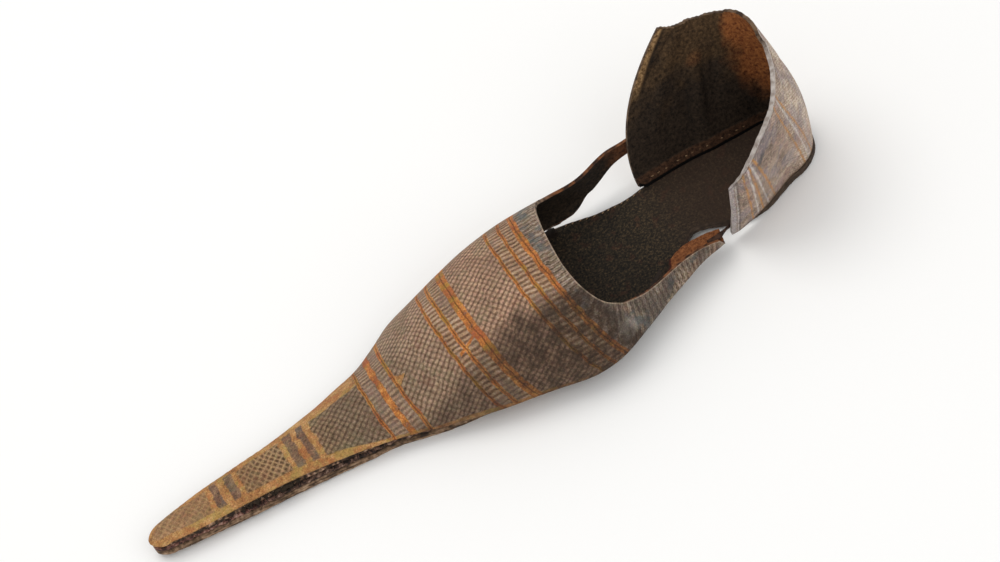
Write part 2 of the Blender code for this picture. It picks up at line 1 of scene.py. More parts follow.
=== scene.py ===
"""Medieval pointed shoe in worn, tooled leather, standing empty on a pale floor.

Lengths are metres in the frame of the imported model: +X to the point, +Y to the wearer's left, which is
the inner side of this right shoe, and +Z up. Coordinates that the materials read are millimetres.
"""
from functools import partial

import bpy
import numpy as np
from mathutils import Matrix, Vector


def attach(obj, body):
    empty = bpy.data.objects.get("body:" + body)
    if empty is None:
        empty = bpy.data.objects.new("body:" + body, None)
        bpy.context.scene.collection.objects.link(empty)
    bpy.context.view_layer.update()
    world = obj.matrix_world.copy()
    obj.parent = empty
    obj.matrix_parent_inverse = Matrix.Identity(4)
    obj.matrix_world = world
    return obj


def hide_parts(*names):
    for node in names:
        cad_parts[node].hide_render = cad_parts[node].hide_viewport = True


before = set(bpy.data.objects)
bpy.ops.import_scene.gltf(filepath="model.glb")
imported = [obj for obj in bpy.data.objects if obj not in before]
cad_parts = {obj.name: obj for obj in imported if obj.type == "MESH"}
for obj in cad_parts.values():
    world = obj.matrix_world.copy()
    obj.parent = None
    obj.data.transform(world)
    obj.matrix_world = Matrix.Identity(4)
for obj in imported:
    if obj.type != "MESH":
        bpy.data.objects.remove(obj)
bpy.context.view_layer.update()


# Studio. The shoe stands alone on a matt off-white floor under large soft lights. The camera looks from
# the wearer's left and from above, turned on its side as the photograph is.
CAMERA_TARGET = Vector((0.128, -0.0076, 0.025))
CAMERA_DISTANCE = 1.2
CAMERA_ELEVATION = 51.0      # degrees above the floor
CAMERA_AROUND = 5.9          # degrees from +Y towards +X
CAMERA_ROLL = -28.2
CAMERA_LENS = 91.53          # mm on a 36 mm wide sensor
FLOOR_SIDE = 6.0
FLOOR_WHITE = "#f6f5f3"
LIGHT_AIM = Vector((0.12, 0.0, 0.03))            # the middle of the shoe


def leather_color(code):
    """Linear colour from an sRGB hex value."""
    channels = [int(code[i:i + 2], 16) / 255.0 for i in (1, 3, 5)]
    return tuple(c / 12.92 if c <= 0.04045 else ((c + 0.055) / 1.055) ** 2.4 for c in channels) + (1.0,)


def add_node(tree, kind, *inputs, out=0, stops=(), **settings):
    """Adds a node, such as "Math ADD", and gives back one of its outputs. Inputs come in order, or by name
    with a capital letter, and a colour may be a hex value. Stops are places and colours of a ramp."""
    name, _, mode = kind.partition(" ")
    full = name.startswith(("Geometry", "Function", "NodeGroup"))
    node = tree.nodes.new(name if full else "ShaderNode" + name)
    if mode:
        setattr(node, {"MapRange": "interpolation_type", "Mix": "data_type"}.get(name, "operation"), mode)
    pairs = list(zip([socket for socket in node.inputs if socket.enabled], inputs))
    for key, value in settings.items():
        if key[0].isupper():
            pairs.append((node.inputs[key], value))
        else:
            setattr(node, key, value)
    for socket, value in pairs:
        if isinstance(value, bpy.types.NodeSocket):
            tree.links.new(value, socket)
        else:
            is_color = isinstance(value, str) and value.startswith("#")
            socket.default_value = leather_color(value) if is_color else value
    if stops:
        elements = node.color_ramp.elements
        while len(elements) < len(stops):
            elements.new(0.5)
        for element, (level, code) in zip(elements, stops):
            element.position = level
            element.color = leather_color(code)
    if isinstance(out, int) and node.outputs:
        return [socket for socket in node.outputs if socket.enabled][out]
    return node.outputs[out] if node.outputs else node


def new_material(name, roughness, sheen=0.3):
    """A Principled material of a roughness and specular level, and the function that adds nodes to it."""
    material = bpy.data.materials.new(name)
    material.use_nodes = True
    shader = material.node_tree.nodes["Principled BSDF"]
    shader.inputs["Roughness"].default_value = roughness
    shader.inputs["Specular IOR Level"].default_value = sheen
    return material, partial(add_node, material.node_tree)


def put_on(material, add, color, height, depth):
    """Connects a colour and a relief, whose unit is depth metres, to the material's shader."""
    tree = material.node_tree
    shader = tree.nodes["Principled BSDF"]
    tree.links.new(color, shader.inputs["Base Color"])
    tree.links.new(add("Bump", Height=height, Distance=depth, Strength=0.9), shader.inputs["Normal"])
    return material


def make_floor():
    mesh = bpy.data.meshes.new("floor")
    half = FLOOR_SIDE / 2.0
    mesh.from_pydata([(-half, -half, 0.0), (half, -half, 0.0), (half, half, 0.0), (-half, half, 0.0)], [],
                     [(0, 1, 2, 3)])
    material, add = new_material("matt_floor_paint", 0.9)
    shader = material.node_tree.nodes["Principled BSDF"]
    shader.inputs["Base Color"].default_value = leather_color(FLOOR_WHITE)
    mesh.materials.append(material)
    floor = bpy.data.objects.new("floor", mesh)
    bpy.context.collection.objects.link(floor)


def make_camera():
    elevation, around, roll = np.radians((CAMERA_ELEVATION, CAMERA_AROUND, CAMERA_ROLL))
    back = Vector((np.cos(elevation) * np.sin(around), np.cos(elevation) * np.cos(around),
                   np.sin(elevation)))
    right = (-back).cross(Vector((0.0, 0.0, 1.0))).normalized()
    up = back.cross(right)
    side = right * np.cos(roll) + up * np.sin(roll)
    top = up * np.cos(roll) - right * np.sin(roll)
    camera = bpy.data.objects.new("camera", bpy.data.cameras.new("camera"))
    camera.data.lens = CAMERA_LENS
    camera.data.sensor_width = 36.0
    camera.data.clip_end = 20.0
    turn = Matrix((side, top, back)).transposed().to_4x4()
    camera.matrix_world = Matrix.Translation(CAMERA_TARGET + back * CAMERA_DISTANCE) @ turn
    bpy.context.collection.objects.link(camera)
    bpy.context.scene.camera = camera


def make_light(name, place, size, power, color):
    light = bpy.data.lights.new(name, "AREA")
    light.shape = "DISK"
    light.size = size
    light.energy = power
    light.color = color
    lamp = bpy.data.objects.new(name, light)
    aim = (LIGHT_AIM - Vector(place)).to_track_quat("-Z", "Y")
    lamp.matrix_world = Matrix.Translation(place) @ aim.to_matrix().to_4x4()
    bpy.context.collection.objects.link(lamp)


make_floor()
make_camera()
make_light("key_softbox", (0.35, -0.45, 1.30), 1.0, 5.5, (1.0, 0.98, 0.95))
make_light("fill_softbox", (-0.55, 1.10, 1.00), 1.3, 4.0, (0.98, 0.99, 1.0))
world = bpy.data.worlds.new("studio")
world.use_nodes = True
world.node_tree.nodes["Background"].inputs["Color"].default_value = (0.98, 0.99, 1.0, 1.0)
world.node_tree.nodes["Background"].inputs["Strength"].default_value = 0.80
bpy.context.scene.world = world
bpy.context.scene.view_settings.view_transform = "Standard"


# Outsole. One cut of thick cattle hide, dark and grained inside, with a scuffed grey-brown cut edge. It
# is flat at seat and tread, arched at the waist and sprung at the toe, and worn hollow where a foot stood.
SOLE_LENGTH = 0.371
HEEL_BACK = 0.038
SOLE_THICKNESS = 0.0038
SOLE_EDGE_ROUND = 0.0011
ARCH_HEIGHT = 0.0035
TOE_SPRING = 0.0028
HEEL_ROUND = 0.019
TIP_ROUND = 0.007
SEAT_END, TREAD_START, TREAD_END = 0.145, 0.315, 0.575
SOLE_HOLLOW = 0.0005         # worn hollow under heel and ball
SOLE_STATIONS = 260
SOLE_COLUMNS = 25
EDGE_RAGGED = 0.00025        # how far the cut edge strays
WAIST_TRIM = 0.0028          # cut away at the medial waist, where light shows between sole and wing

# Half widths of the sole in millimetres, with their place as a share of the length from the heel.
SOLE_HALVES = np.array((
    (0.000, 17.3, -21.6), (0.055, 18.5, -21.8), (0.110, 24.7, -23.5), (0.155, 23.8, -25.7),
    (0.205, 17.9, -24.2), (0.245, 25.2, -22.9), (0.280, 32.0, -26.0), (0.325, 40.0, -32.4),
    (0.400, 44.4, -36.0), (0.470, 42.4, -36.4), (0.540, 37.2, -35.6), (0.600, 32.4, -34.4),
    (0.636, 28.0, -28.0), (0.665, 24.3, -22.6), (0.710, 21.6, -19.1), (0.780, 17.2, -14.7),
    (0.875, 12.5, -10.7), (0.945, 8.6, -8.1), (1.000, 5.2, -6.0)))


def spline(knots, values, where):
    """Smooth curve through the rows of a table: a cubic with three-point slopes."""
    knots, values = np.asarray(knots, float), np.asarray(values, float)
    where = np.clip(np.asarray(where, float), knots[0], knots[-1])
    steps = np.diff(knots)
    rates = np.diff(values) / steps
    inner = (rates[:-1] * steps[1:] + rates[1:] * steps[:-1]) / (steps[:-1] + steps[1:])
    slopes = np.concatenate(([rates[0]], inner, [rates[-1]]))
    i = np.clip(np.searchsorted(knots, where, side="right") - 1, 0, len(steps) - 1)
    t = (where - knots[i]) / steps[i]
    rest = 1.0 - t
    return (values[i] * (1.0 + 2.0 * t) * rest ** 2 + slopes[i] * steps[i] * t * rest ** 2
            + values[i + 1] * t ** 2 * (3.0 - 2.0 * t) - slopes[i + 1] * steps[i] * t ** 2 * rest)


def from_table(table, where):
    """Smooth curves through the columns of a table, whose first column is the place."""
    return [spline(table[:, 0], column, where) for column in table.T[1:]]


def station(share):
    return share * SOLE_LENGTH - HEEL_BACK


def sole_edges(x):
    """Medial and lateral edge of the sole, rounded at the seat and at the tip."""
    share = (np.asarray(x, float) + HEEL_BACK) / SOLE_LENGTH
    medial, lateral = (spline(SOLE_HALVES[:, 0], SOLE_HALVES[:, k] / 1000.0, share) for k in (1, 2))
    centre = (medial + lateral) / 2.0
    from_heel = np.clip(share * SOLE_LENGTH / HEEL_ROUND, 0.0, 1.0)
    from_tip = np.clip((1.0 - share) * SOLE_LENGTH / TIP_ROUND, 0.0, 1.0)
    round_end = np.sqrt(1.0 - (1.0 - from_heel) ** 2) * np.sqrt(1.0 - (1.0 - from_tip) ** 2)
    return centre + (medial - centre) * round_end, centre + (lateral - centre) * round_end


def floor_line(x):
    """Underside of the sole."""
    share = (np.asarray(x, float) + HEEL_BACK) / SOLE_LENGTH
    arch = np.clip((share - SEAT_END) / (TREAD_START - SEAT_END), 0.0, 1.0)
    spring = np.clip((share - TREAD_END) / (1.0 - TREAD_END), 0.0, 1.0)
    return ARCH_HEIGHT * np.sin(np.pi * arch) ** 2 + TOE_SPRING * spring ** 2


def ripple(place, seed, waves):
    """Smooth irregular line between about -1 and 1; waves are its lengths, in the unit of the place."""
    chance = np.random.default_rng(seed)
    total = sum(np.sin(2.0 * np.pi * (np.asarray(place) / wave + chance.random())) for wave in waves)
    return total / len(waves)


def weighted(add, *parts):
    """Sum of values, each given with its weight; a bare value is added as it is."""
    result = None
    for part in parts:
        value = add("Math MULTIPLY", *part) if isinstance(part, tuple) else part
        result = value if result is None else add("Math ADD", result, value)
    return result


def attribute_parts(add, label):
    """The three numbers that an attribute holds at each point."""
    return add("SeparateXYZ", add("Attribute", attribute_name=label, out="Vector")).node.outputs


def tinted(add, color, code, field, start, end, share=1.0):
    """Lays a share of one more colour on where a value goes from start to end."""
    return add("Mix RGBA", add("MapRange SMOOTHSTEP", field, start, end, 0.0, share), color, code)


def limited(add, value, field, start, end, low=0.0, high=1.0):
    """A value times a factor that goes from low to high as a field goes from start to end."""
    return add("Math MULTIPLY", value, add("MapRange SMOOTHSTEP", field, start, end, low, high))


def end_spaced(count):
    """Shares from 0 to 1, closer together at both ends."""
    even = np.linspace(0.0, 1.0, count)
    return 0.6 * even + 0.4 * (1.0 - np.cos(np.pi * even)) / 2.0


def make_piece(name, points, faces, materials, kinds=None, attributes=None):
    """One smooth-shaded object. kinds gives each face its material, attributes hold vectors by point."""
    mesh = bpy.data.meshes.new(name)
    mesh.from_pydata([tuple(map(float, point)) for point in points], [], faces)
    for material in materials:
        mesh.materials.append(material)
    if kinds is not None:
        mesh.polygons.foreach_set("material_index", np.asarray(kinds, np.int32))
    for label, values in (attributes or {}).items():
        layer = mesh.attributes.new(label, "FLOAT_VECTOR", "POINT")
        layer.data.foreach_set("vector", np.asarray(values, np.float32).ravel())
    mesh.shade_smooth()
    mesh.set_sharp_from_angle(angle=np.radians(60.0))
    piece = bpy.data.objects.new(name, mesh)
    bpy.context.collection.objects.link(piece)
    return piece


def ring_faces(stations, ring):
    """Faces of a bar of closed rings, with a cap at each end."""
    s, k = np.meshgrid(np.arange(stations - 1), np.arange(ring), indexing="ij")
    a, b = s * ring + k, s * ring + (k + 1) % ring
    faces = np.stack([a, b, b + ring, a + ring], -1).reshape(-1, 4).tolist()
    last = (stations - 1) * ring
    return faces + [list(range(ring))[::-1], [last + i for i in range(ring)]]


def sole_hide():
    """Vegetable-tanned cattle hide: near-black brown, matt, with a fine pebbled grain and rusty specks."""
    material, add = new_material("tanned_sole_hide", 0.86, 0.25)
    where = add("TexCoord", out="Object")
    patches = add("TexNoise", Vector=where, Scale=28.0, Detail=4.0)
    grain = add("TexNoise", Vector=where, Scale=900.0, Detail=3.0, Roughness=0.7)
    pores = add("TexVoronoi", Vector=where, Scale=700.0)
    shade = weighted(add, (grain, 0.85), (patches, 0.15))
    brown = add("ValToRGB", shade, stops=((0.36, "#0e0b07"), (0.47, "#211b13"), (0.56, "#31281c"),
                                          (0.68, "#53432f")))
    rust = add("TexNoise", Vector=where, Scale=170.0, Detail=5.0)
    color = tinted(add, brown, "#542c1e", rust, 0.55, 0.74, 0.3)
    seat = add("MapRange SMOOTHSTEP", add("SeparateXYZ", where), 0.060, 0.020, 0.0, 0.45)
    color = add("Mix RGBA", seat, color, "#4a382d")
    return put_on(material, add, color, weighted(add, (pores, 0.18), (grain, 0.5)), 0.0004)


def sole_edge_hide():
    """The cut edge and underside: layered hide, scuffed grey-brown, with dark cracks along its length."""
    material, add = new_material("scuffed_edge_hide", 0.80, 0.3)
    where = add("TexCoord", out="Object")
    layers = add("Mapping", Vector=where, Scale=(60.0, 60.0, 1000.0))
    strands = add("TexNoise", Vector=layers, Scale=1.0, Detail=4.0)
    specks = add("TexNoise", Vector=where, Scale=420.0, Detail=3.0)
    shade = weighted(add, (strands, 0.5), (specks, 0.5))
    color = add("ValToRGB", shade, stops=((0.38, "#2e2117"), (0.47, "#5c4632"), (0.55, "#846850"),
                                          (0.66, "#ae9378")))
    waist = add("MapRange SMOOTHSTEP", add("SeparateXYZ", where), 0.105, 0.075, 0.0, 0.85)
    color = add("Mix RGBA", waist, color, "#2a2019")
    return put_on(material, add, color, shade, 0.0007)


def make_outsole():
    x = station(end_spaced(SOLE_STATIONS))
    x[0] += 0.0004
    x[-1] -= 0.0004
    medial, lateral = sole_edges(x)
    fade = np.clip((medial - lateral) / 0.012, 0.0, 1.0)
    medial = medial + EDGE_RAGGED * fade * ripple(x, 3, (0.031, 0.0117, 0.0061, 0.0034))
    lateral = lateral + EDGE_RAGGED * fade * ripple(x, 8, (0.027, 0.0131, 0.0072, 0.0031))
    medial = medial - WAIST_TRIM * np.interp(x, (0.012, 0.020, 0.038, 0.046), (0.0, 1.0, 1.0, 0.0))
    under = floor_line(x)
    top = under + SOLE_THICKNESS
    turn = np.radians((0.0, 22.5, 45.0, 67.5, 90.0))[:, None]
    edge = np.minimum(SOLE_EDGE_ROUND, (medial - lateral) / 4.0)
    across = np.linspace(0.0, 1.0, SOLE_COLUMNS)[1:-1]
    share = (x + HEEL_BACK) / SOLE_LENGTH
    worn = np.exp(-((share - 0.09) / 0.07) ** 2) + np.exp(-((share - 0.44) / 0.12) ** 2)
    inset, lift = edge * (1.0 - np.sin(turn)), edge * (1.0 - np.cos(turn))
    ring = [*zip(medial - inset, under + lift), *zip((medial - inset)[::-1], (top - lift)[::-1])]
    for k in across:
        y = medial - edge + (lateral - medial + 2.0 * edge) * k
        ring.append((y, top - SOLE_HOLLOW * worn * np.sin(np.pi * k) ** 2))
    ring += [*zip(lateral + inset, top - lift), *zip((lateral + inset)[::-1], (under + lift)[::-1])]
    rings = np.stack([np.stack([x, y, z], -1) for y, z in ring], 1)
    faces = ring_faces(SOLE_STATIONS, len(ring))
    first_top = 2 * len(turn) - 1
    kinds = [0 if first_top <= i % len(ring) < first_top + SOLE_COLUMNS - 1 else 1 for i in range(len(faces))]
    kinds[-2:] = [1, 1]
    sole = make_piece("outsole_hide", rings.reshape(-1, 3), faces, (sole_hide(), sole_edge_hide()), kinds)
    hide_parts("outsole")
    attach(sole, "root")


make_outsole()


# Rand. A thin strip of leather sewn into the seam between sole and vamp. It shows in the dark groove
# over the sole's edge as a worn, reddish, nibbled line.
RAND_WIDTH = 0.0052
RAND_THICKNESS = 0.0022
RAND_START_MEDIAL, RAND_START_LATERAL = 0.270, 0.345
RAND_INNER_SHORT = 0.0114
RAND_STATIONS = 420
RAND_NARROWEST = 0.0008      # from its inner edge to the middle of the point
RAND_ROUND = 0.0005
NIBBLE_DEPTH = 0.00032
STITCH_PULL = 0.00035
TOP_SLUMP = 0.0003
SEAM_GAP = 0.0003
STITCH_PITCH = 0.0043        # of the seam round the forepart


def rand_top(x):
    return floor_line(x) + SOLE_THICKNESS + SEAM_GAP + RAND_THICKNESS


def nibbled_leather():
    """Old calf strip, cut raw: red-brown with pale scuffs and dark pits at the stitch holes."""
    material, add = new_material("nibbled_rand_calf", 0.82, 0.3)
    where = add("TexCoord", out="Object")
    bits = add("TexNoise", Vector=where, Scale=330.0, Detail=4.0, Roughness=0.65)
    color = add("ValToRGB", bits, stops=((0.42, "#1f1610"), (0.50, "#443026"), (0.58, "#6e5243"),
                                         (0.70, "#a88c7a")))
    forward = add("SeparateXYZ", where)
    scuffed = add("ValToRGB", bits, stops=((0.42, "#3c201a"), (0.56, "#a06658"), (0.70, "#d9aca0")))
    color = tinted(add, color, scuffed, forward, 0.262, 0.290, 0.35)
    # Painted shade: towards its back part, inside the shoe, the strip is darkened nearly to black.
    color = tinted(add, color, "#241b14", forward, 0.165, 0.145, 0.95)
    return put_on(material, add, color, bits, 0.0006)


def make_rand():
    half = end_spaced(2 * RAND_STATIONS - 1)[RAND_STATIONS - 1:] * 2.0 - 1.0
    tip = 1.0 - 0.0006 / SOLE_LENGTH
    inner_tip = 1.0 - RAND_INNER_SHORT / SOLE_LENGTH
    sides = []
    for side, start in ((0, RAND_START_MEDIAL), (1, RAND_START_LATERAL)):
        share = start + (tip - start) * half
        x = station(share)
        y = sole_edges(x)[side]
        inner_x = station(start + (inner_tip - start) * half)
        edges = sole_edges(inner_x)
        middle = (edges[0] + edges[1]) / 2.0
        inward = -1.0 if side == 0 else 1.0
        keep_off = np.maximum if side == 0 else np.minimum
        inner_y = keep_off(edges[side] + inward * RAND_WIDTH, middle - inward * RAND_NARROWEST)
        fade = np.clip((1.0 - share) * SOLE_LENGTH / 0.02, 0.0, 1.0)
        nibble = NIBBLE_DEPTH * fade * (1.0 + ripple(x, 21 + side, (0.0093, 0.0047, 0.0026)))
        pull = STITCH_PULL * fade * (0.5 + 0.5 * np.cos(2.0 * np.pi * x / STITCH_PITCH)) ** 3
        y = y + inward * (nibble + pull)
        high, high_in = rand_top(x), rand_top(inner_x)
        low, low_in = high - RAND_THICKNESS, high_in - RAND_THICKNESS
        slump = TOP_SLUMP * fade * (1.0 + ripple(x, 31 + side, (0.0121, 0.0053, 0.0029)))
        turn = inward * RAND_ROUND * np.clip((1.0 - share) * SOLE_LENGTH / TIP_ROUND, 0.0, 1.0)
        profile = ((inner_x, inner_y, low_in), (x, y + turn, low), (x, y, low + RAND_ROUND),
                   (x, y + turn * 0.1, (low + high) / 2.0), (x, y + turn * 0.4, high - RAND_ROUND - slump),
                   (x, y + turn * 2.0, high - slump), (inner_x, inner_y, high_in))
        sides.append(np.stack([np.stack(place, -1) for place in profile], 1))
    rings = np.concatenate([sides[0], sides[1][::-1]])
    faces = ring_faces(len(rings), rings.shape[1])
    rand = make_piece("rand_strip", rings.reshape(-1, 3), faces, (nibbled_leather(),))
    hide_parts("rand")
    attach(rand, "root")


make_rand()


# Vamp. One piece of thin calf drawn over the forefoot and the long point and turned in along the seam. Its
# grain side is tooled with a slanting lattice and with bands of ribs and orange grooves, its flesh side is
# dark, and rust-coloured on the medial wing.
VAMP_WALL = 0.0016
VAMP_TIP_WALL = 0.35
VAMP_SET_IN = 0.0014
TREAD_WIDTH = 0.080
INSTEP_HEIGHT = 0.048
BELLY_HEIGHT = 0.0120
BELLY_ACROSS = 0.10
WING_SLANT = 0.010
VAMP_ROWS, WING_ROWS = 215, 92
BELLY_COLUMNS, WALL_COLUMNS, THROAT_COLUMNS = 9, 20, 92

# at, stand, medial, lateral, crown, height, belly, full_medial, full_lateral: the place along the shoe,
# then shares of the tread's width, of the instep's height and of the belly's height, and two fullnesses.
VAMP_SECTIONS = np.array((
    (0.170, 0.070, 0.425, -0.410, 0.060, 1.020, 0.85, 2.0, 5.5),
    (0.205, 0.090, 0.452, -0.422, 0.060, 1.020, 0.85, 2.0, 5.0),
    (0.240, 0.020, 0.500, -0.462, 0.065, 1.015, 0.90, 2.0, 3.4),
    (0.280, 0.000, 0.568, -0.458, 0.070, 1.010, 0.95, 2.1, 2.3),
    (0.335, 0.000, 0.672, -0.455, 0.080, 1.000, 1.00, 2.2, 2.2),
    (0.375, 0.000, 0.738, -0.472, 0.095, 0.985, 1.00, 2.2, 2.25),
    (0.410, 0.000, 0.745, -0.482, 0.095, 0.975, 1.00, 2.2, 2.25),
    (0.465, 0.000, 0.670, -0.466, 0.080, 0.955, 1.00, 2.1, 2.15),
    (0.540, 0.000, 0.565, -0.430, 0.055, 0.840, 0.95, 2.0, 1.8),
    (0.600, 0.000, 0.445, -0.405, 0.030, 0.665, 0.80, 1.9, 1.4),
    (0.636, 0.000, 0.375, -0.330, 0.015, 0.530, 0.75, 1.8, 1.3),
    (0.665, 0.000, 0.325, -0.276, 0.010, 0.435, 0.72, 1.8, 1.4),
    (0.710, 0.000, 0.280, -0.226, 0.008, 0.360, 0.72, 1.8, 1.5),
    (0.780, 0.000, 0.218, -0.175, 0.005, 0.300, 0.72, 2.0, 1.7),
    (0.875, 0.000, 0.158, -0.152, 0.003, 0.255, 0.76, 2.1, 2.0),
    (0.945, 0.000, 0.110, -0.127, -0.004, 0.245, 0.80, 2.2, 2.2),
    (1.000, 0.000, 0.055, -0.080, -0.015, 0.245, 0.84, 2.2, 2.2)))

# Edges of the vamp as (share of the length, rise in the arch of that section).
MEDIAL_RIM = np.array(((0.190, 0.14), (0.218, 0.24), (0.250, 0.33), (0.283, 0.42), (0.313, 0.51),
                       (0.340, 0.61)))
THROAT_MEDIAL = np.array(((0.340, 0.61), (0.360, 0.74), (0.373, 0.88), (0.377, 0.96), (0.374, 1.00)))
THROAT_LATERAL = np.array(((0.366, 0.94), (0.357, 0.79), (0.346, 0.62)))
LATERAL_RIM = np.array(((0.203, 0.60), (0.224, 0.535), (0.242, 0.515), (0.264, 0.498), (0.290, 0.50),
                        (0.320, 0.54), (0.346, 0.62)))
LATERAL_LOWER_EDGE = np.array(((0.203, 0.38), (0.212, 0.345), (0.235, 0.24), (0.262, 0.12), (0.290, 0.05),
                               (0.312, 0.012), (0.335, 0.0)))
ARC_STEPS, BELLY_STEPS = 24, 10
LEAST_BELLY, LEAST_ARCH = 0.0012, 0.0014         # heights that keep the very tip open
LEAST_HALF, LEAST_BULGE = 0.0006, 0.0003         # widths that do the same
ROW_SPREAD = 1.15            # power by which the rows lie closer together towards the tip
TURN_REACH = 0.40            # share of the vamp over which the columns turn from the throat to the tip
SEAM_DEPTH = 0.0011          # of the hollow in which the seam lies

# Soft creases of the flexed leather: along and around in mm, length, width and depth in mm, slant of the
# trough from the shoe's axis in degrees.
VAMP_CREASES = (
    (108.0, 35.5, 14.0, 1.2, 0.90, -8.0),
    (110.0, 39.5, 18.0, 1.2, 1.00, -6.0),
    (108.0, 43.5, 16.0, 1.3, 0.90, -4.0),
    (92.0, 55.0, 12.0, 2.2, 0.90, 62.0),
    (97.0, 60.0, 14.0, 3.0, -1.20, 60.0),
    (130.0, -28.0, 16.0, 2.5, 0.45, 20.0),
    (176.0, 30.0, 18.0, 3.0, 0.40, 25.0),
    (205.0, 2.0, 16.0, 4.0, 0.40, 80.0),
    (232.0, 4.0, 12.0, 3.5, 0.30, 75.0),
    (268.0, 0.0, 10.0, 3.0, 0.25, 80.0),
)


def arc_run(line):
    """Length along a line of points, up to each of them."""
    return np.concatenate(([0.0], np.cumsum(np.linalg.norm(np.diff(line, axis=0), axis=1))))


def arc_shares(line):
    return arc_run(line) / arc_run(line)[-1]


def vamp_halves(share):
    """Outer line of the arch at one section: medial and lateral half, each from its foot to the ridge."""
    stand, medial, lateral, crown, height, belly, full_m, full_l = map(
        float, from_table(VAMP_SECTIONS, share))
    x = float(station(share))
    edges = sole_edges(x)
    foot_z = float(rand_top(x)) + SEAM_GAP
    ridge_y, ridge_z = crown * TREAD_WIDTH, height * INSTEP_HEIGHT
    near_tip = np.clip((1.0 - share) * SOLE_LENGTH / TIP_ROUND, 0.0, 1.0)
    close = float(np.sqrt(1.0 - (1.0 - near_tip) ** 2))
    belly_z = max(belly * BELLY_HEIGHT, foot_z + LEAST_BELLY)
    ridge_z = belly_z + (max(ridge_z, belly_z + LEAST_ARCH) - belly_z) * close
    halves = []
    for way, edge, wide, full in ((1.0, edges[0], medial, full_m), (-1.0, edges[1], lateral, full_l)):
        foot_y = float(edge) - way * VAMP_SET_IN
        if way > 0.0:
            foot_y += stand * TREAD_WIDTH
        belly_y = ridge_y + (wide * TREAD_WIDTH - ridge_y) * close
        foot_y = ridge_y + way * max(way * (foot_y - ridge_y), LEAST_HALF)
        belly_y = foot_y + way * max(way * (belly_y - foot_y), LEAST_BULGE)
        turn = np.linspace(0.0, np.pi / 2.0, BELLY_STEPS + 1)[:-1]
        low = np.stack([foot_y + (belly_y - foot_y) * np.sin(turn),
                        foot_z + (belly_z - foot_z) * (1.0 - np.cos(turn))], -1)
        turn = np.linspace(0.0, np.pi / 2.0, ARC_STEPS)
        high = np.stack([ridge_y + (belly_y - ridge_y) * np.cos(turn).clip(0.0) ** (2.0 / full),
                         belly_z + (ridge_z - belly_z) * np.sin(turn) ** (2.0 / full)], -1)
        halves.append(np.concatenate([low, high]))
    return halves


def half_shares(line):
    """Share of each point of a half section: even below its widest place, and even above it."""
    low = 2.0 * BELLY_ACROSS * arc_shares(line[:BELLY_STEPS + 1])
    high = 2.0 * BELLY_ACROSS + (1.0 - 2.0 * BELLY_ACROSS) * arc_shares(line[BELLY_STEPS:])
    return np.concatenate([low, high[1:]])


def across_at(share, side, rise):
    """Place across the arch, 0 at the medial foot, 0.5 on the ridge, 1 at the lateral foot."""
    line = vamp_halves(share)[0 if side > 0 else 1]
    foot, ridge = line[0, 1], line[-1, 1]
    run = float(np.interp(foot + rise * (ridge - foot), line[:, 1], half_shares(line)))
    return 0.5 * run if side > 0 else 1.0 - 0.5 * run


SHAPE_SHARES = np.linspace(0.165, 1.0, 420)
SHAPE_ACROSS = np.linspace(0.0, 1.0, 161)
VAMP_SHAPE = np.zeros((len(SHAPE_SHARES), len(SHAPE_ACROSS), 3))
for row, share in enumerate(SHAPE_SHARES):
    for half, line in enumerate(vamp_halves(share)):
        cols = SHAPE_ACROSS <= 0.5 if half == 0 else SHAPE_ACROSS >= 0.5
        run = 2.0 * (SHAPE_ACROSS[cols] if half == 0 else 1.0 - SHAPE_ACROSS[cols])
        VAMP_SHAPE[row, cols, 0] = station(share)
        for k in (0, 1):
            VAMP_SHAPE[row, cols, k + 1] = np.interp(run, half_shares(line), line[:, k])


def from_shape(table, share, across):
    """Values of a table over the vamp at any share and place across, blended between its four neighbours."""
    r = np.interp(share, SHAPE_SHARES, np.arange(len(SHAPE_SHARES)))
    c = np.interp(across, SHAPE_ACROSS, np.arange(len(SHAPE_ACROSS)))
    i = np.minimum(r.astype(int), len(SHAPE_SHARES) - 2)
    j = np.minimum(c.astype(int), len(SHAPE_ACROSS) - 2)
    s, t = (r - i)[..., None], (c - j)[..., None]
    return ((table[i, j] * (1.0 - t) + table[i, j + 1] * t) * (1.0 - s)
            + (table[i + 1, j] * (1.0 - t) + table[i + 1, j + 1] * t) * s)


def edge_line(table, side, shares):
    rises = np.maximum(0.0, from_table(table, shares)[0])
    return np.array([across_at(share, side, rise) for share, rise in zip(shares, rises)])


def throat_rim(count):
    """Rim round the throat, evenly along its length, as (share, across)."""
    ends = np.array([(at, across_at(at, 1, rise)) for at, rise in THROAT_MEDIAL]
                    + [(at, across_at(at, -1, rise)) for at, rise in THROAT_LATERAL])
    run = arc_shares(from_shape(VAMP_SHAPE, ends[:, 0], ends[:, 1]))
    even = np.linspace(0.0, 1.0, count)
    return np.stack([spline(run, ends[:, 0], even), spline(run, ends[:, 1], even)], -1)


def vamp_columns(medial_corner, throat, lateral_corner):
    belly = np.linspace(0.0, BELLY_ACROSS, BELLY_COLUMNS + 1)[:-1]
    wall = np.linspace(0.0, 1.0, WALL_COLUMNS + 1)[:-1]
    medial = BELLY_ACROSS + (medial_corner - BELLY_ACROSS) * wall
    lateral = 1.0 - BELLY_ACROSS + (lateral_corner - 1.0 + BELLY_ACROSS) * wall
    return np.concatenate([belly, medial, throat, lateral[::-1], 1.0 - belly[::-1]])


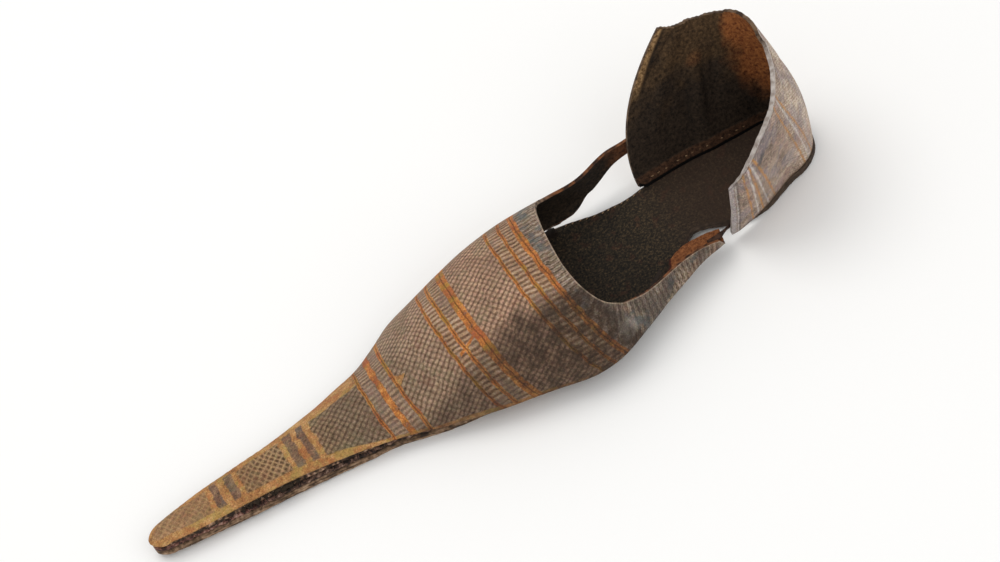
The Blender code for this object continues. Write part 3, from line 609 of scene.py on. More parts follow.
def vamp_places():
    """Share and place across of every point of the grid; the first rows hold the two wings only."""
    throat = throat_rim(THROAT_COLUMNS)
    side = BELLY_COLUMNS + WALL_COLUMNS
    begin = np.concatenate([np.full(side, throat[0, 0]), throat[:, 0], np.full(side, throat[-1, 0])])
    start = vamp_columns(throat[0, 1], throat[:, 1], throat[-1, 1])
    even = np.linspace(BELLY_ACROSS, 1.0 - BELLY_ACROSS, len(start) - 2 * BELLY_COLUMNS)
    target = vamp_columns(even[WALL_COLUMNS], even[WALL_COLUMNS:-WALL_COLUMNS], even[-WALL_COLUMNS - 1])
    share = np.full((WING_ROWS + VAMP_ROWS, len(start)), np.nan)
    across = share.copy()
    reach = 1.0 - (1.0 - np.linspace(0.0, 1.0, VAMP_ROWS)) ** ROW_SPREAD
    blend = np.minimum(1.0, reach / TURN_REACH)
    blend = (blend * blend * (3.0 - 2.0 * blend))[:, None]
    share[WING_ROWS:] = begin + (1.0 - begin) * reach[:, None]
    across[WING_ROWS:] = start + (target - start) * blend
    back = 1.0 - np.arange(WING_ROWS) / WING_ROWS
    cols = np.arange(side + 1)
    slant = WING_SLANT * (1.0 - start[cols] / throat[0, 1])
    share[:WING_ROWS, cols] = throat[0, 0] + (MEDIAL_RIM[0, 0] - slant - throat[0, 0]) * back[:, None]
    for row in range(WING_ROWS):
        rim = np.interp(share[row, cols], RIM_SHARES, RIM_ACROSS)
        part = np.maximum(0.0, (start[cols] - BELLY_ACROSS) / (throat[0, 1] - BELLY_ACROSS))
        across[row, cols] = start[cols] + part * (rim - throat[0, 1])
    cols = np.arange(len(start) - side - 1, len(start))
    wing_share = throat[-1, 0] + (LATERAL_RIM[0, 0] - throat[-1, 0]) * back
    rim = edge_line(LATERAL_RIM, -1, wing_share)
    foot = np.where(wing_share < LATERAL_LOWER_EDGE[-1, 0], edge_line(LATERAL_LOWER_EDGE, -1, wing_share),
                    1.0)
    part = (start[cols] - throat[-1, 1]) / (1.0 - throat[-1, 1])
    share[:WING_ROWS, cols] = wing_share[:, None]
    across[:WING_ROWS, cols] = rim[:, None] + part * (foot - rim)[:, None]
    return share, across


RIM_SHARES = np.linspace(0.165, MEDIAL_RIM[-1, 0], 60)
RIM_ACROSS = edge_line(MEDIAL_RIM, 1, RIM_SHARES)


def grid_normals(grid):
    """Unit normals of a grid of points, some of them missing."""
    steps = []
    for axis in (0, 1):
        line = np.moveaxis(grid, axis, 0)
        after, before = np.roll(line, -1, 0), np.roll(line, 1, 0)
        after[-1], before[0] = line[-1], line[0]
        after, before = (np.where(np.isfinite(side), side, line) for side in (after, before))
        steps.append(np.moveaxis(after - before, 0, axis))
    out = np.cross(*steps)
    return out / np.maximum(np.linalg.norm(out, axis=-1, keepdims=True), 1e-12)


def shell_piece(name, grid, inner, materials, attributes):
    """Closed shell between an outer and an inner grid: outer, inner and edge faces have three materials."""
    there = np.isfinite(grid[:, :, 0])
    index = np.full(there.shape, -1)
    index[there] = np.arange(there.sum())
    count = int(there.sum())
    a, b, c, d = index[:-1, :-1], index[:-1, 1:], index[1:, 1:], index[1:, :-1]
    whole = (a >= 0) & (b >= 0) & (c >= 0) & (d >= 0)
    quads = np.stack([a[whole], b[whole], c[whole], d[whole]], -1)
    sides = np.concatenate([quads[:, [k, (k + 1) % 4]] for k in range(4)])
    found = {tuple(side) for side in sides.tolist()}
    rim = [side for side in found if side[::-1] not in found]
    faces = quads[:, ::-1].tolist() + (quads + count).tolist()
    faces += [[s, e, e + count, s + count] for s, e in rim]
    kinds = [0] * len(quads) + [1] * len(quads) + [2] * len(rim)
    points = np.concatenate([grid[there], inner[there]])
    a, b, c, d = (points[corner] for corner in np.array(faces).T)
    volume = np.sum(a * np.cross(b, c)) + np.sum(a * np.cross(c, d))
    if volume < 0.0:
        faces = [face[::-1] for face in faces]
    values = {label: np.concatenate([value[there]] * 2) for label, value in attributes.items()}
    return make_piece(name, points, faces, materials, kinds, values)


def seam_hollow(along, around):
    """Height in mm, up from the foot of the vamp, of the hollow under the leather's turned-in edge, which the
    grain's colour paints dark with the seam's pits and dirt and with painted shade.
    """
    rise = np.interp(along, (160.0, 192.0, 210.0, 226.0, 265.0, 286.0, 300.0, 312.0, 323.0, 331.0),
                     (0.0, 4.2, 4.4, 5.1, 5.5, 4.9, 4.3, 3.6, 2.7, 0.6))
    lateral = np.interp(along, (170.0, 185.0, 250.0, 290.0), (0.0, 0.42, 0.36, 0.0))
    return rise * np.where(around > 0.0, 1.0, lateral)


def border_foot(along, hollow):
    """Height in mm, up from the foot, of the lower side of the orange border along the leather's edge."""
    rise = np.interp(along, (118.0, 130.0, 140.0, 150.0, 165.0, 175.0, 182.0, 190.0),
                     (17.6, 14.8, 13.4, 12.6, 11.6, 8.8, 6.4, 4.4))
    return np.maximum(rise * (along < 200.0), hollow)


def nearest_on(line, points):
    """Distance of each point from a line of points, and how far along the line its nearest point lies."""
    run = arc_run(line)
    distance, along = np.zeros(len(points)), np.zeros(len(points))
    for start in range(0, len(points), 4000):
        part = points[start:start + 4000]
        gaps = np.linalg.norm(part[:, None] - line[None], axis=2)
        near = gaps.argmin(1)
        distance[start:start + 4000] = gaps[np.arange(len(part)), near]
        along[start:start + 4000] = run[near]
    return distance, along


def crease_depth(creases, along, around):
    """Depth of all the soft creases at each place, in metres."""
    depth = np.zeros_like(along)
    for x, y, length, width, deep, slant in creases:
        turn = np.radians(slant)
        u = (along - x) * np.cos(turn) + (around - y) * np.sin(turn)
        v = (around - y) * np.cos(turn) - (along - x) * np.sin(turn)
        depth += deep / 1000.0 * np.exp(-(u / (0.5 * length)) ** 2 - (v / width) ** 2)
    return depth


def stripe(add, place, start, end, soft=0.25):
    """1 between two places of a coordinate in mm, 0 outside them, with soft borders."""
    rise = add("MapRange SMOOTHSTEP", place, start - soft, start + soft)
    return add("Math SUBTRACT", rise, add("MapRange SMOOTHSTEP", place, end - soft, end + soft))


def grooves(add, phase, low=0.02, high=0.36):
    """Rows of grooves a whole phase apart: 0 in a groove, 1 between two."""
    return add("MapRange SMOOTHSTEP", add("Math PINGPONG", phase, 0.5), low, high)


def off_patch(add, first, second, *ragged):
    """Square of the distance from the middle of a patch, made ragged. Places are (value, rate, shift)."""
    squares = [add("Math POWER", weighted(add, (value, rate), shift), 2.0)
               for value, rate, shift in (first, second)]
    return weighted(add, *squares, *ragged)


def mottled(add, color, where, strong, tinge):
    """The grain of worn calf over a finished colour: fine pale and dark specks, and faint coloured ones."""
    speck = add("TexNoise", Vector=where, Scale=1500.0, Detail=2.0, Roughness=0.6)
    speck = add("ValToRGB", speck, stops=((0.34, "#4a4a4a"), (0.66, "#f6f6f6")))
    tint = add("TexNoise", Vector=where, Scale=620.0, Detail=2.0, out="Color")
    color = add("Mix RGBA", strong, color, speck, blend_type="OVERLAY")
    return add("Mix RGBA", tinge, color, tint, blend_type="OVERLAY")


# Bands of the vamp across its length, in mm from the origin and as (start, end): strips of ribs, orange
# strips and lines, the dark bars of the point and the ochre fields between them.
RIBBED_STRIPS = ((111.8, 116.6), (118.2, 123.7), (154.4, 160.0), (161.9, 166.2), (196.4, 201.2),
                 (204.6, 209.6))
ORANGE_STRIPS = ((108.8, 111.7), (116.7, 118.1), (123.8, 125.1), (150.1, 154.3), (160.1, 161.7),
                 (166.3, 167.5), (194.6, 196.1), (201.4, 204.1), (210.3, 211.5))
DARK_BARS = ((243.8, 247.6), (250.6, 255.2), (284.4, 288.5), (292.6, 296.4))
OCHRE_FIELDS = ((240.6, 257.6), (281.2, 299.3))
INCISED_LINES = (110.3, 117.5, 124.3, 152.1, 160.8, 166.8, 195.3, 210.9)
GREY_STRIPS = (196.4, 209.6)

# The lattice of each field: where the field starts, then the rates of its two rows of grooves along and
# around, in cycles a millimetre. Each field was tooled by itself, so they slant differently.
LATTICE_FIELDS = ((100.0, (0.235, -0.335), (0.345, 0.219)), (139.0, (0.215, -0.325), (0.365, 0.228)),
                  (180.0, (0.195, -0.330), (0.345, 0.215)), (248.0, (0.195, -0.255), (0.380, 0.227)))


def tooled_calf():
    """Calf, vegetable tanned and tooled while damp: matt brown, a lattice worn pale on its crests, orange
    and ochre dye in the lines and margins, greyer ribs, black dirt and painted shade in the seam, black dirt
    on the inner side, and a painted highlight on the medial wing."""
    material, add = new_material("tooled_calf_grain", 0.76, 0.25)
    where = add("TexCoord", out="Object")
    place = attribute_parts(add, "tooling")
    edges = attribute_parts(add, "edges")
    stray = add("TexNoise", Vector=where, Scale=140.0, Detail=2.0, out="Color")
    ahead, aside, _ = add("SeparateXYZ", stray).node.outputs
    grain = add("TexNoise", Vector=where, Scale=1100.0, Detail=3.0, Roughness=0.7)
    wear = add("TexNoise", Vector=where, Scale=50.0, Detail=5.0, Roughness=0.6)
    dirt = add("TexNoise", Vector=where, Scale=230.0, Detail=5.0, Roughness=0.7)
    clouds = add("TexNoise", Vector=where, Scale=95.0, Detail=3.0, Roughness=0.6, out="Color")
    red, cold, olive = add("SeparateXYZ", clouds).node.outputs
    rim, to_border, rim_run = edges
    along = weighted(add, place[0], (ahead, 2.0), -1.0)
    around = weighted(add, place[1], (aside, 2.0), -1.0)
    ragged = weighted(add, (dirt, 4.0), -2.0)
    off_ridge = add("Math ABSOLUTE", around)
    bend = add("Math POWER", add("Math DIVIDE", off_ridge, 65.0), 2.5)
    band = weighted(add, along, (bend, 10.0))
    band_rough = weighted(add, band, ragged)

    # Lattice. On the foot its crests are pale dashes, on the point dark pits lie between pale lines.
    on_point = add("MapRange SMOOTHSTEP", along, 250.0, 258.0)
    low = weighted(add, (on_point, 0.08), 0.08)
    rows = []
    for row in (1, 2):
        phase = None
        for field in LATTICE_FIELDS:
            here = weighted(add, (along, field[row][0]), (around, field[row][1]))
            on = add("Math GREATER_THAN", band, field[0])
            phase = here if phase is None else add("Mix FLOAT", on, phase, here)
        rows.append(grooves(add, weighted(add, phase, (dirt, 0.35)), low, weighted(add, low, 0.26)))
    both = add("Math MULTIPLY", *rows)
    dashes = weighted(add, (rows[0], 0.45), (rows[1], 0.20), (both, 0.35))
    pits = weighted(add, (add("Math MAXIMUM", *rows), 0.75), (both, 0.25))
    lattice = add("Mix FLOAT", on_point, dashes, pits)
    lattice = limited(add, lattice, wear, 0.32, 0.60, 0.55, 1.0)
    faded = add("MapRange SMOOTHSTEP", band, 296.0, 302.0)
    dull = stripe(add, band, 211.0, 240.0, 3.0)
    lattice = add("Math MULTIPLY", lattice, weighted(add, (faded, -0.5), (dull, -0.3), 1.0))
    level = weighted(add, (lattice, 0.84), (grain, 0.7), (dirt, 0.6), (faded, 0.16), -0.55)
    length = add("MapRange", along, 100.0, 335.0)
    groove = add("ValToRGB", length, stops=(
        (0.0, "#59412f"), (0.22, "#573f2e"), (0.42, "#4c3827"), (0.52, "#443122"), (0.66, "#45301c"),
        (0.80, "#5e3f26"), (0.90, "#6f4e33")))
    crest = add("ValToRGB", length, stops=(
        (0.0, "#b39278"), (0.16, "#bb967b"), (0.36, "#ae9177"), (0.52, "#977f66"), (0.66, "#a3835f"),
        (0.86, "#ab865d"), (0.96, "#b28d65")))
    color = add("Mix RGBA", level, groove, crest)

    # Ribs: short strokes along the shoe, side by side across each strip, worn and uneven.
    ribs = grooves(add, weighted(add, (around, 0.375), (along, 0.05), (dirt, 0.55)), 0.06, 0.40)
    ribbed = weighted(add, *[stripe(add, band, *strip) for strip in RIBBED_STRIPS])
    rib_level = weighted(add, (ribs, 0.42), (dirt, 0.9), (grain, 0.65), (wear, 0.4), -0.75)
    rib_color = add("ValToRGB", rib_level, stops=(
        (0.05, "#4c3627"), (0.35, "#7e5e45"), (0.62, "#a08064"), (0.90, "#bda48d")))
    rib_color = tinted(add, rib_color, "#837468", red, 0.46, 0.60, 0.4)
    rib_color = add("Mix RGBA", add("Math MULTIPLY", stripe(add, band, *GREY_STRIPS), 0.25), rib_color,
                    "#75675c")
    color = add("Mix RGBA", ribbed, color, rib_color)

    # Throat strip and medial wing: greyer, with strokes square to the rim, finer ones among them.
    strokes = grooves(add, weighted(add, (rim_run, 0.36), (rim, 0.06), (dirt, 0.6)), 0.04, 0.40)
    fine = grooves(add, weighted(add, (rim_run, 0.83), (rim, -0.05), (dirt, 1.2)), 0.04, 0.40)
    behind = add("MapRange SMOOTHSTEP", band, 109.0, 108.2)
    strip_level = weighted(add, (strokes, 0.30), (fine, 0.22), (dirt, 1.1), (grain, 0.7), (wear, 0.5), -0.94)
    strip_color = add("ValToRGB", strip_level, stops=(
        (0.05, "#352b24"), (0.36, "#6b5847"), (0.62, "#8f7c6b"), (0.92, "#ac9d8e")))
    strip_color = tinted(add, strip_color, "#4d5454", cold, 0.50, 0.62, 0.75)
    # Painted highlight: a pale patch on the medial corner of the wing, where the leather swells towards the
    # light.
    painted_highlight_patch = off_patch(add, (along, 1.0, -93.0), (around, 1.0, -58.0), (ragged, 8.0))
    strip_color = tinted(add, strip_color, "#a79c90", painted_highlight_patch, 45.0, 8.0, 0.6)
    color = add("Mix RGBA", behind, color, strip_color)

    # Ochre of the point, and the thin orange border along the leather's edge beside the ball.
    inside = weighted(add, place[2], (ragged, 0.15))
    from_border = weighted(add, to_border, (ragged, 0.25))
    in_border = add("Math SUBTRACT", add("MapRange SMOOTHSTEP", along, 214.0, 238.0, 1.9, 4.2), from_border)
    margin = limited(add, add("MapRange SMOOTHSTEP", in_border, -0.4, 0.4), around, 0.0, 2.0)
    margin = limited(add, margin, band, 120.0, 150.0)
    lateral = add("MapRange SMOOTHSTEP", weighted(add, around, (ragged, 0.5)), -7.6, -9.0)
    lateral = limited(add, lateral, along, 209.0, 214.0)
    beside = add("Math ABSOLUTE", weighted(add, around, -9.0))
    blob = weighted(add, along, (beside, -1.35), (ragged, 0.8))
    blob = stripe(add, blob, 189.6, 196.0, 0.5)
    tip = add("MapRange SMOOTHSTEP", weighted(add, along, (off_ridge, 0.8)), 329.0, 333.0)
    fields = weighted(add, *[stripe(add, band_rough, *field, 0.5) for field in OCHRE_FIELDS])
    dyed = fields
    for part in (margin, lateral, add("Math MULTIPLY", blob, add("Math LESS_THAN", along, 195.5)), tip):
        dyed = add("Math MAXIMUM", dyed, part)
    ochre = add("ValToRGB", weighted(add, (dirt, 1.1), (grain, 0.8), (wear, 0.6), -0.75), stops=(
        (0.15, "#68401f"), (0.38, "#97673a"), (0.56, "#ad7f4c"), (0.80, "#c79f6c")))
    ochre = tinted(add, ochre, "#a88a3e", olive, 0.50, 0.64, 0.5)
    ochre = tinted(add, ochre, "#b06a34", red, 0.52, 0.64, 0.5)
    color = add("Mix RGBA", add("Math MULTIPLY", dyed, 0.92), color, ochre)

    # Dark bars of the point, stopped short of the margins.
    bars = weighted(add, *[stripe(add, band_rough, *bar, 0.35) for bar in DARK_BARS])
    bars = limited(add, bars, in_border, 0.6, -0.6)
    bars = limited(add, bars, around, -10.4, -9.4)
    bar_color = add("ValToRGB", weighted(add, (dirt, 1.2), (grain, 0.8), -0.5), stops=(
        (0.25, "#3c2e28"), (0.50, "#694e3e"), (0.75, "#8f7157")))
    bar_color = tinted(add, bar_color, "#525652", cold, 0.50, 0.62, 0.5)
    color = add("Mix RGBA", add("Math MULTIPLY", bars, 0.92), color, bar_color)

    # Orange strips with their incised grooves, and one short stroke across the second band.
    uneven = weighted(add, band, (ragged, 0.3))
    strips = weighted(add, *[stripe(add, uneven, a - 0.2, b + 0.2, 0.3) for a, b in ORANGE_STRIPS])
    stroke = stripe(add, weighted(add, around, (along, -0.376), 39.7), -0.8, 0.8, 0.3)
    stroke = add("Math MULTIPLY", stroke, stripe(add, along, 154.0, 164.0, 0.4))
    strips = limited(add, add("Math MAXIMUM", strips, stroke), dirt, 0.30, 0.46, 0.55, 1.0)
    orange = add("ValToRGB", weighted(add, (dirt, 1.1), (grain, 0.8), (wear, 0.5), -0.70), stops=(
        (0.20, "#683a1b"), (0.40, "#9a5a2c"), (0.56, "#b67236"), (0.78, "#d09957")))
    orange = tinted(add, orange, "#94722a", cold, 0.50, 0.62, 0.7)
    orange = tinted(add, orange, "#9a4a26", red, 0.54, 0.64, 0.6)
    color = add("Mix RGBA", strips, color, orange)
    cut = weighted(add, *[stripe(add, band, line - 0.25, line + 0.25) for line in INCISED_LINES])
    color = add("Mix RGBA", add("Math MULTIPLY", cut, 0.65), color, "#4f2d14")

    # Reddish and olive clouds of wear, and the dark inner side with its ragged border.
    color = tinted(add, color, "#7a4a38", red, 0.50, 0.68, 0.22)
    color = tinted(add, color, "#6b6a4c", olive, 0.50, 0.68, 0.20)
    most = add("MapRange SMOOTHSTEP", band, 138.0, 160.0, 0.90, 0.68)
    most = weighted(add, most, (stripe(add, band, 154.0, 166.5, 1.0), -0.12))
    start = add("MapRange SMOOTHSTEP", band, 150.0, 190.0, 22.0, 30.0)
    below = add("Math SUBTRACT", weighted(add, around, (wear, 30.0), (dirt, 9.0), -19.5), start)
    shade = limited(add, most, below, -3.0, 9.0)
    shade = limited(add, shade, dirt, 0.62, 0.40, 0.78, 1.0)
    shade = limited(add, shade, band, 94.0, 101.0)
    color = add("Mix RGBA", shade, color, "#2e2015")
    on_wing = limited(add, add("MapRange SMOOTHSTEP", band, 106.0, 96.0), around, 22.0, 34.0)
    on_wing = limited(add, on_wing, wear, 0.42, 0.58, 0.0, 0.65)
    color = add("Mix RGBA", on_wing, color, "#3b3430")

    # The worn pale rim line, and the dark pitted hollow of the seam with frayed bits in it: its dark is
    # partly the seam's own pits and dirt and partly painted shade of the hollow.
    pale = limited(add, add("MapRange SMOOTHSTEP", rim, 0.75, 0.35), dirt, 0.35, 0.60, 0.25, 0.8)
    color = add("Mix RGBA", pale, color, "#a08b75")
    bits = add("TexNoise", Vector=where, Scale=520.0, Detail=3.0)
    # Painted shade over real pits: this colour darkens the turned-in edge as the shade of its hollow, over
    # the pits, dirt and frayed bits of the seam.
    seam_pits_and_painted_shade = add("ValToRGB", bits, stops=((0.42, "#261a11"), (0.50, "#473323"), (0.58, "#745843"),
                                              (0.70, "#a88a72")))
    color = tinted(add, color, seam_pits_and_painted_shade, inside, 0.15, -0.35)
    color = mottled(add, color, where, 0.32, 0.16)

    plain = add("Math MINIMUM", weighted(add, ribbed, dyed, bars, behind, strips), 1.0)
    open_lattice = add("Math MULTIPLY", lattice, add("Math SUBTRACT", 1.0, plain))
    height = weighted(add, (open_lattice, 0.30), (add("Math MULTIPLY", ribs, ribbed), 0.26),
                      (add("Math MULTIPLY", strokes, behind), 0.22), (cut, -0.35), (grain, 0.20),
                      (dirt, 0.36))
    return put_on(material, add, color, height, 0.001)


def vamp_flesh():
    """Flesh side of the calf: dark and fibrous, dyed rust under the rim of the medial wing and near the end
    of the lateral one."""
    material, add = new_material("calf_flesh_side", 0.88, 0.2)
    where = add("TexCoord", out="Object")
    place = attribute_parts(add, "tooling")
    edges = attribute_parts(add, "edges")
    fibre = add("TexNoise", Vector=where, Scale=600.0, Detail=4.0, Roughness=0.7)
    blotch = add("TexNoise", Vector=where, Scale=110.0, Detail=4.0)
    bright = add("MapRange", fibre, 0.35, 0.68)
    dark = add("Mix RGBA", bright, "#15100b", "#3a2e22")
    rust = add("Mix RGBA", bright, "#522b16", "#935c36")
    under_rim = weighted(add, edges[0], (blotch, 6.0), -3.0)
    forward = add("MapRange SMOOTHSTEP", place[0], 48.0, 97.0, 19.0, 1.5)
    wing = add("Math SUBTRACT", forward, under_rim)
    lower_side = add("MapRange SMOOTHSTEP", wing, -1.2, 0.2)
    wing = add("MapRange SMOOTHSTEP", wing, 0.0, 1.2)
    on_wing = limited(add, add("MapRange", place[1], 5.0, 15.0), place[0], 100.0, 88.0)
    strap = limited(add, add("MapRange", place[1], -5.0, -15.0),
                    weighted(add, place[0], (blotch, 20.0)), 66.0, 54.0, 0.0, 0.55)
    color = add("Mix RGBA", add("Math MULTIPLY", lower_side, on_wing), dark, "#3f1711")
    color = add("Mix RGBA", add("Math MAXIMUM", add("Math MULTIPLY", wing, on_wing), strap), color, rust)
    return put_on(material, add, color, fibre, 0.0005)


def cut_edge(name, dark, pale, far=None):
    """Raw cut edge of calf: fibrous, paler where it is rubbed. far gives it two other colours where the
    first number of an attribute goes from one place to another."""
    material, add = new_material(name, 0.82, 0.25)
    where = add("TexCoord", out="Object")
    fibre = add("TexNoise", Vector=where, Scale=300.0, Detail=4.0)
    bright = add("MapRange", fibre, 0.38, 0.62)
    color = add("Mix RGBA", bright, dark, pale)
    if far:
        label, start, end, far_dark, far_pale = far
        other = add("Mix RGBA", bright, far_dark, far_pale)
        color = tinted(add, color, other, attribute_parts(add, label)[0], start, end)
    return put_on(material, add, color, fibre, 0.0003)


def make_vamp():
    share, across = vamp_places()
    there = np.isfinite(share)
    grid = np.full(share.shape + (3,), np.nan)
    grid[there] = from_shape(VAMP_SHAPE, share[there], across[there])
    steps = np.linalg.norm(np.diff(VAMP_SHAPE, axis=1), axis=2) * 1000.0
    run = np.concatenate([np.zeros((len(steps), 1)), np.cumsum(steps, axis=1)], axis=1)
    ridge = run[:, len(SHAPE_ACROSS) // 2][:, None]
    foot = np.minimum(run, run[:, -1:] - run)
    table = np.stack([ridge - run, foot], -1)
    around = np.full(share.shape + (2,), np.nan)
    around[there] = from_shape(table, share[there], across[there])

    side = BELLY_COLUMNS + WALL_COLUMNS
    last = share.shape[1] - 1
    rim_cells = [(row, side) for row in range(WING_ROWS)]
    rim_cells += [(WING_ROWS, col) for col in range(side, last - side + 1)]
    rim_cells += [(row, last - side) for row in range(WING_ROWS - 1, -1, -1)]
    rim = np.array([grid[cell] for cell in rim_cells])
    distance, rim_run = nearest_on(rim, grid[there])

    along = grid[:, :, 0] * 1000.0
    around, foot = around[:, :, 0], around[:, :, 1]
    hollow = seam_hollow(along, around)
    into = np.clip((hollow - foot) / 0.7, 0.0, 1.0)
    lip = np.exp(-((foot - hollow - 0.7) / 0.6) ** 2) * np.clip(hollow, 0.0, 1.0)
    puckers = np.cos(2.0 * np.pi * grid[:, :, 0] / STITCH_PITCH)
    deep = SEAM_DEPTH * np.clip(hollow / 4.4, 0.0, 1.0) ** 2 * np.interp(along, (284.0, 302.0), (1.0, 0.0))
    swell = deep * into * into * (3.0 - 2.0 * into) - 0.00022 * lip * (1.0 + 0.6 * puckers)
    swell += 0.00012 * puckers * np.exp(-((foot - hollow) / 4.0) ** 2)
    swell += crease_depth(VAMP_CREASES, along, around)
    one_way = ripple(along + 1.7 * around, 5, (37.0, 61.0))
    other_way = ripple(around - 0.6 * along, 6, (29.0, 53.0))
    swell += 0.00022 * one_way * other_way
    fade = np.clip((station(1.0) - grid[:, :, 0]) / 0.02, 0.0, 1.0)
    normals = grid_normals(grid)
    outward = np.where(np.nanmean(normals[WING_ROWS:, last // 2, 2]) > 0.0, 1.0, -1.0)
    outer = grid - outward * normals * (swell * fade)[..., None]
    from_tip = (station(1.0) - grid[:, :, 0]) / TIP_ROUND
    wall = VAMP_WALL * np.clip(VAMP_TIP_WALL + (1.0 - VAMP_TIP_WALL) * from_tip, VAMP_TIP_WALL, 1.0)
    inner = outer - outward * grid_normals(outer) * wall[..., None]

    tooling = np.stack([along, around, foot - hollow], -1)
    edges = np.full(share.shape + (3,), np.nan)
    to_border = foot - border_foot(along, hollow)
    edges[there] = np.stack([distance * 1000.0, to_border[there], rim_run * 1000.0], -1)
    edge = cut_edge("calf_cut_edge", "#54453a", "#93806d", ("tooling", 96.0, 82.0, "#2e1c12", "#7a4c2e"))
    materials = (tooled_calf(), vamp_flesh(), edge)
    vamp = shell_piece("vamp_calf", outer, inner, materials, {"tooling": tooling, "edges": edges})
    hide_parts("vamp")
    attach(vamp, "root")


make_vamp()


# Quarter. The tall back of the upper, one piece of calf round the heel, flared at the collar. Outside it is
# a worn grey-tan with near-upright ridges, inside it is nearly black with a rust patch at the back.
QUARTER_WALL = 0.0018
QUARTER_HEIGHT = 0.0760
QUARTER_SET_IN = 0.0008
QUARTER_BELLY = 0.0030
SEAT_WIDTH = 0.048
QUARTER_LATERAL_END, QUARTER_MEDIAL_END = 0.226, 0.168
QUARTER_COLUMNS, QUARTER_ROWS = 260, 96
NOTCH_HEIGHT = 0.0030        # broken out of the lateral bottom corner

# along, collar, forward, out, stand: share of the seam, then shares of the quarter's height and, for the
# stand, of the seat's width.
QUARTER_WALLS = np.array((
    (0.000, 1.065, -0.550, -0.225, 0.000), (0.110, 1.020, -0.410, -0.175, 0.000),
    (0.220, 0.995, -0.290, -0.185, 0.000), (0.310, 0.990, -0.185, -0.175, 0.000),
    (0.400, 0.990, -0.090, -0.130, 0.000), (0.490, 0.990, 0.010, -0.080, 0.000),
    (0.560, 0.990, 0.075, -0.045, 0.000), (0.630, 0.995, 0.065, -0.040, 0.000),
    (0.695, 1.000, 0.015, 0.030, 0.000), (0.760, 1.000, -0.030, 0.150, 0.000),
    (0.870, 0.950, -0.060, 0.225, 0.020), (0.935, 0.800, -0.045, 0.205, 0.080),
    (1.000, 0.600, -0.060, 0.100, 0.150)))

# Upright folds of the quarter: along and rise as shares times 100, length, width, depth in mm, slant.
QUARTER_FOLDS = (
    (25.0, 42.0, 55.0, 1.3, 1.6, 90.0),
    (20.0, 38.0, 40.0, 1.6, -1.2, 90.0),
    (30.5, 55.0, 50.0, 2.2, -1.1, 88.0),
    (40.0, 30.0, 36.0, 1.6, 1.3, 94.0),
    (12.0, 60.0, 60.0, 2.6, 1.2, 86.0),
    (8.0, 85.0, 34.0, 1.6, -1.2, 80.0),
)


def quarter_seam(along):
    lateral = np.linspace(QUARTER_LATERAL_END, 0.0, 240)
    medial = np.linspace(0.0, QUARTER_MEDIAL_END, 240)
    inset = QUARTER_SET_IN / SOLE_LENGTH
    x_l, x_m = station(np.maximum(lateral, inset)), station(np.maximum(medial, inset))
    y_l, y_m = sole_edges(x_l)[1] + QUARTER_SET_IN, sole_edges(x_m)[0] - QUARTER_SET_IN
    path = np.concatenate([np.stack([x_l, y_l], -1), np.stack([x_m, y_m], -1)[1:]])
    run = arc_shares(path)
    return np.interp(along, run, path[:, 0]), np.interp(along, run, path[:, 1])


def quarter_point(along, rise):
    """Outer face of the quarter at a share of its seam and of its height."""
    collar, forward, out, stand = from_table(QUARTER_WALLS, along)
    x, y = quarter_seam(along)
    foot = floor_line(x) + SOLE_THICKNESS + SEAM_GAP
    bow = QUARTER_BELLY * np.sin(np.pi * rise)
    return np.stack([
        x + forward * QUARTER_HEIGHT * rise ** 2 - bow * np.sin(np.pi * along) ** 2,
        y + stand * SEAT_WIDTH + out * QUARTER_HEIGHT * rise - bow * np.cos(np.pi * along),
        foot + (collar * QUARTER_HEIGHT - foot) * rise], -1)


# Lines of the quarter's outside as (place along the seam at the foot, how far it leans back by the collar).
PALE_RIDGES = ((0.676, 0.085), (0.858, 0.068), (0.900, 0.036), (0.978, 0.0))
YELLOW_LINES = ((0.655, 0.10), (0.697, 0.09), (0.828, 0.088), (0.881, 0.05), (0.922, 0.03))
# Creases inside the lateral side, bumped in and darkened with painted shade: foot, lean, then the shares of
# the height between which they show.
CREASE_LINES = ((0.250, 0.02, 0.20, 0.70), (0.205, 0.03, 0.15, 0.60), (0.400, -0.02, 0.10, 0.50))
SEAM_LENGTH = 168.5          # mm round the foot of the quarter


def slanted_lines(add, share, rise, lines, half, soft):
    """Lines up the quarter, of a half width in mm."""
    found = []
    for foot, lean in lines:
        off = weighted(add, (share, SEAM_LENGTH), (rise, -lean * SEAM_LENGTH), -foot * SEAM_LENGTH)
        found.append(stripe(add, off, -half, half, soft))
    return weighted(add, *found)


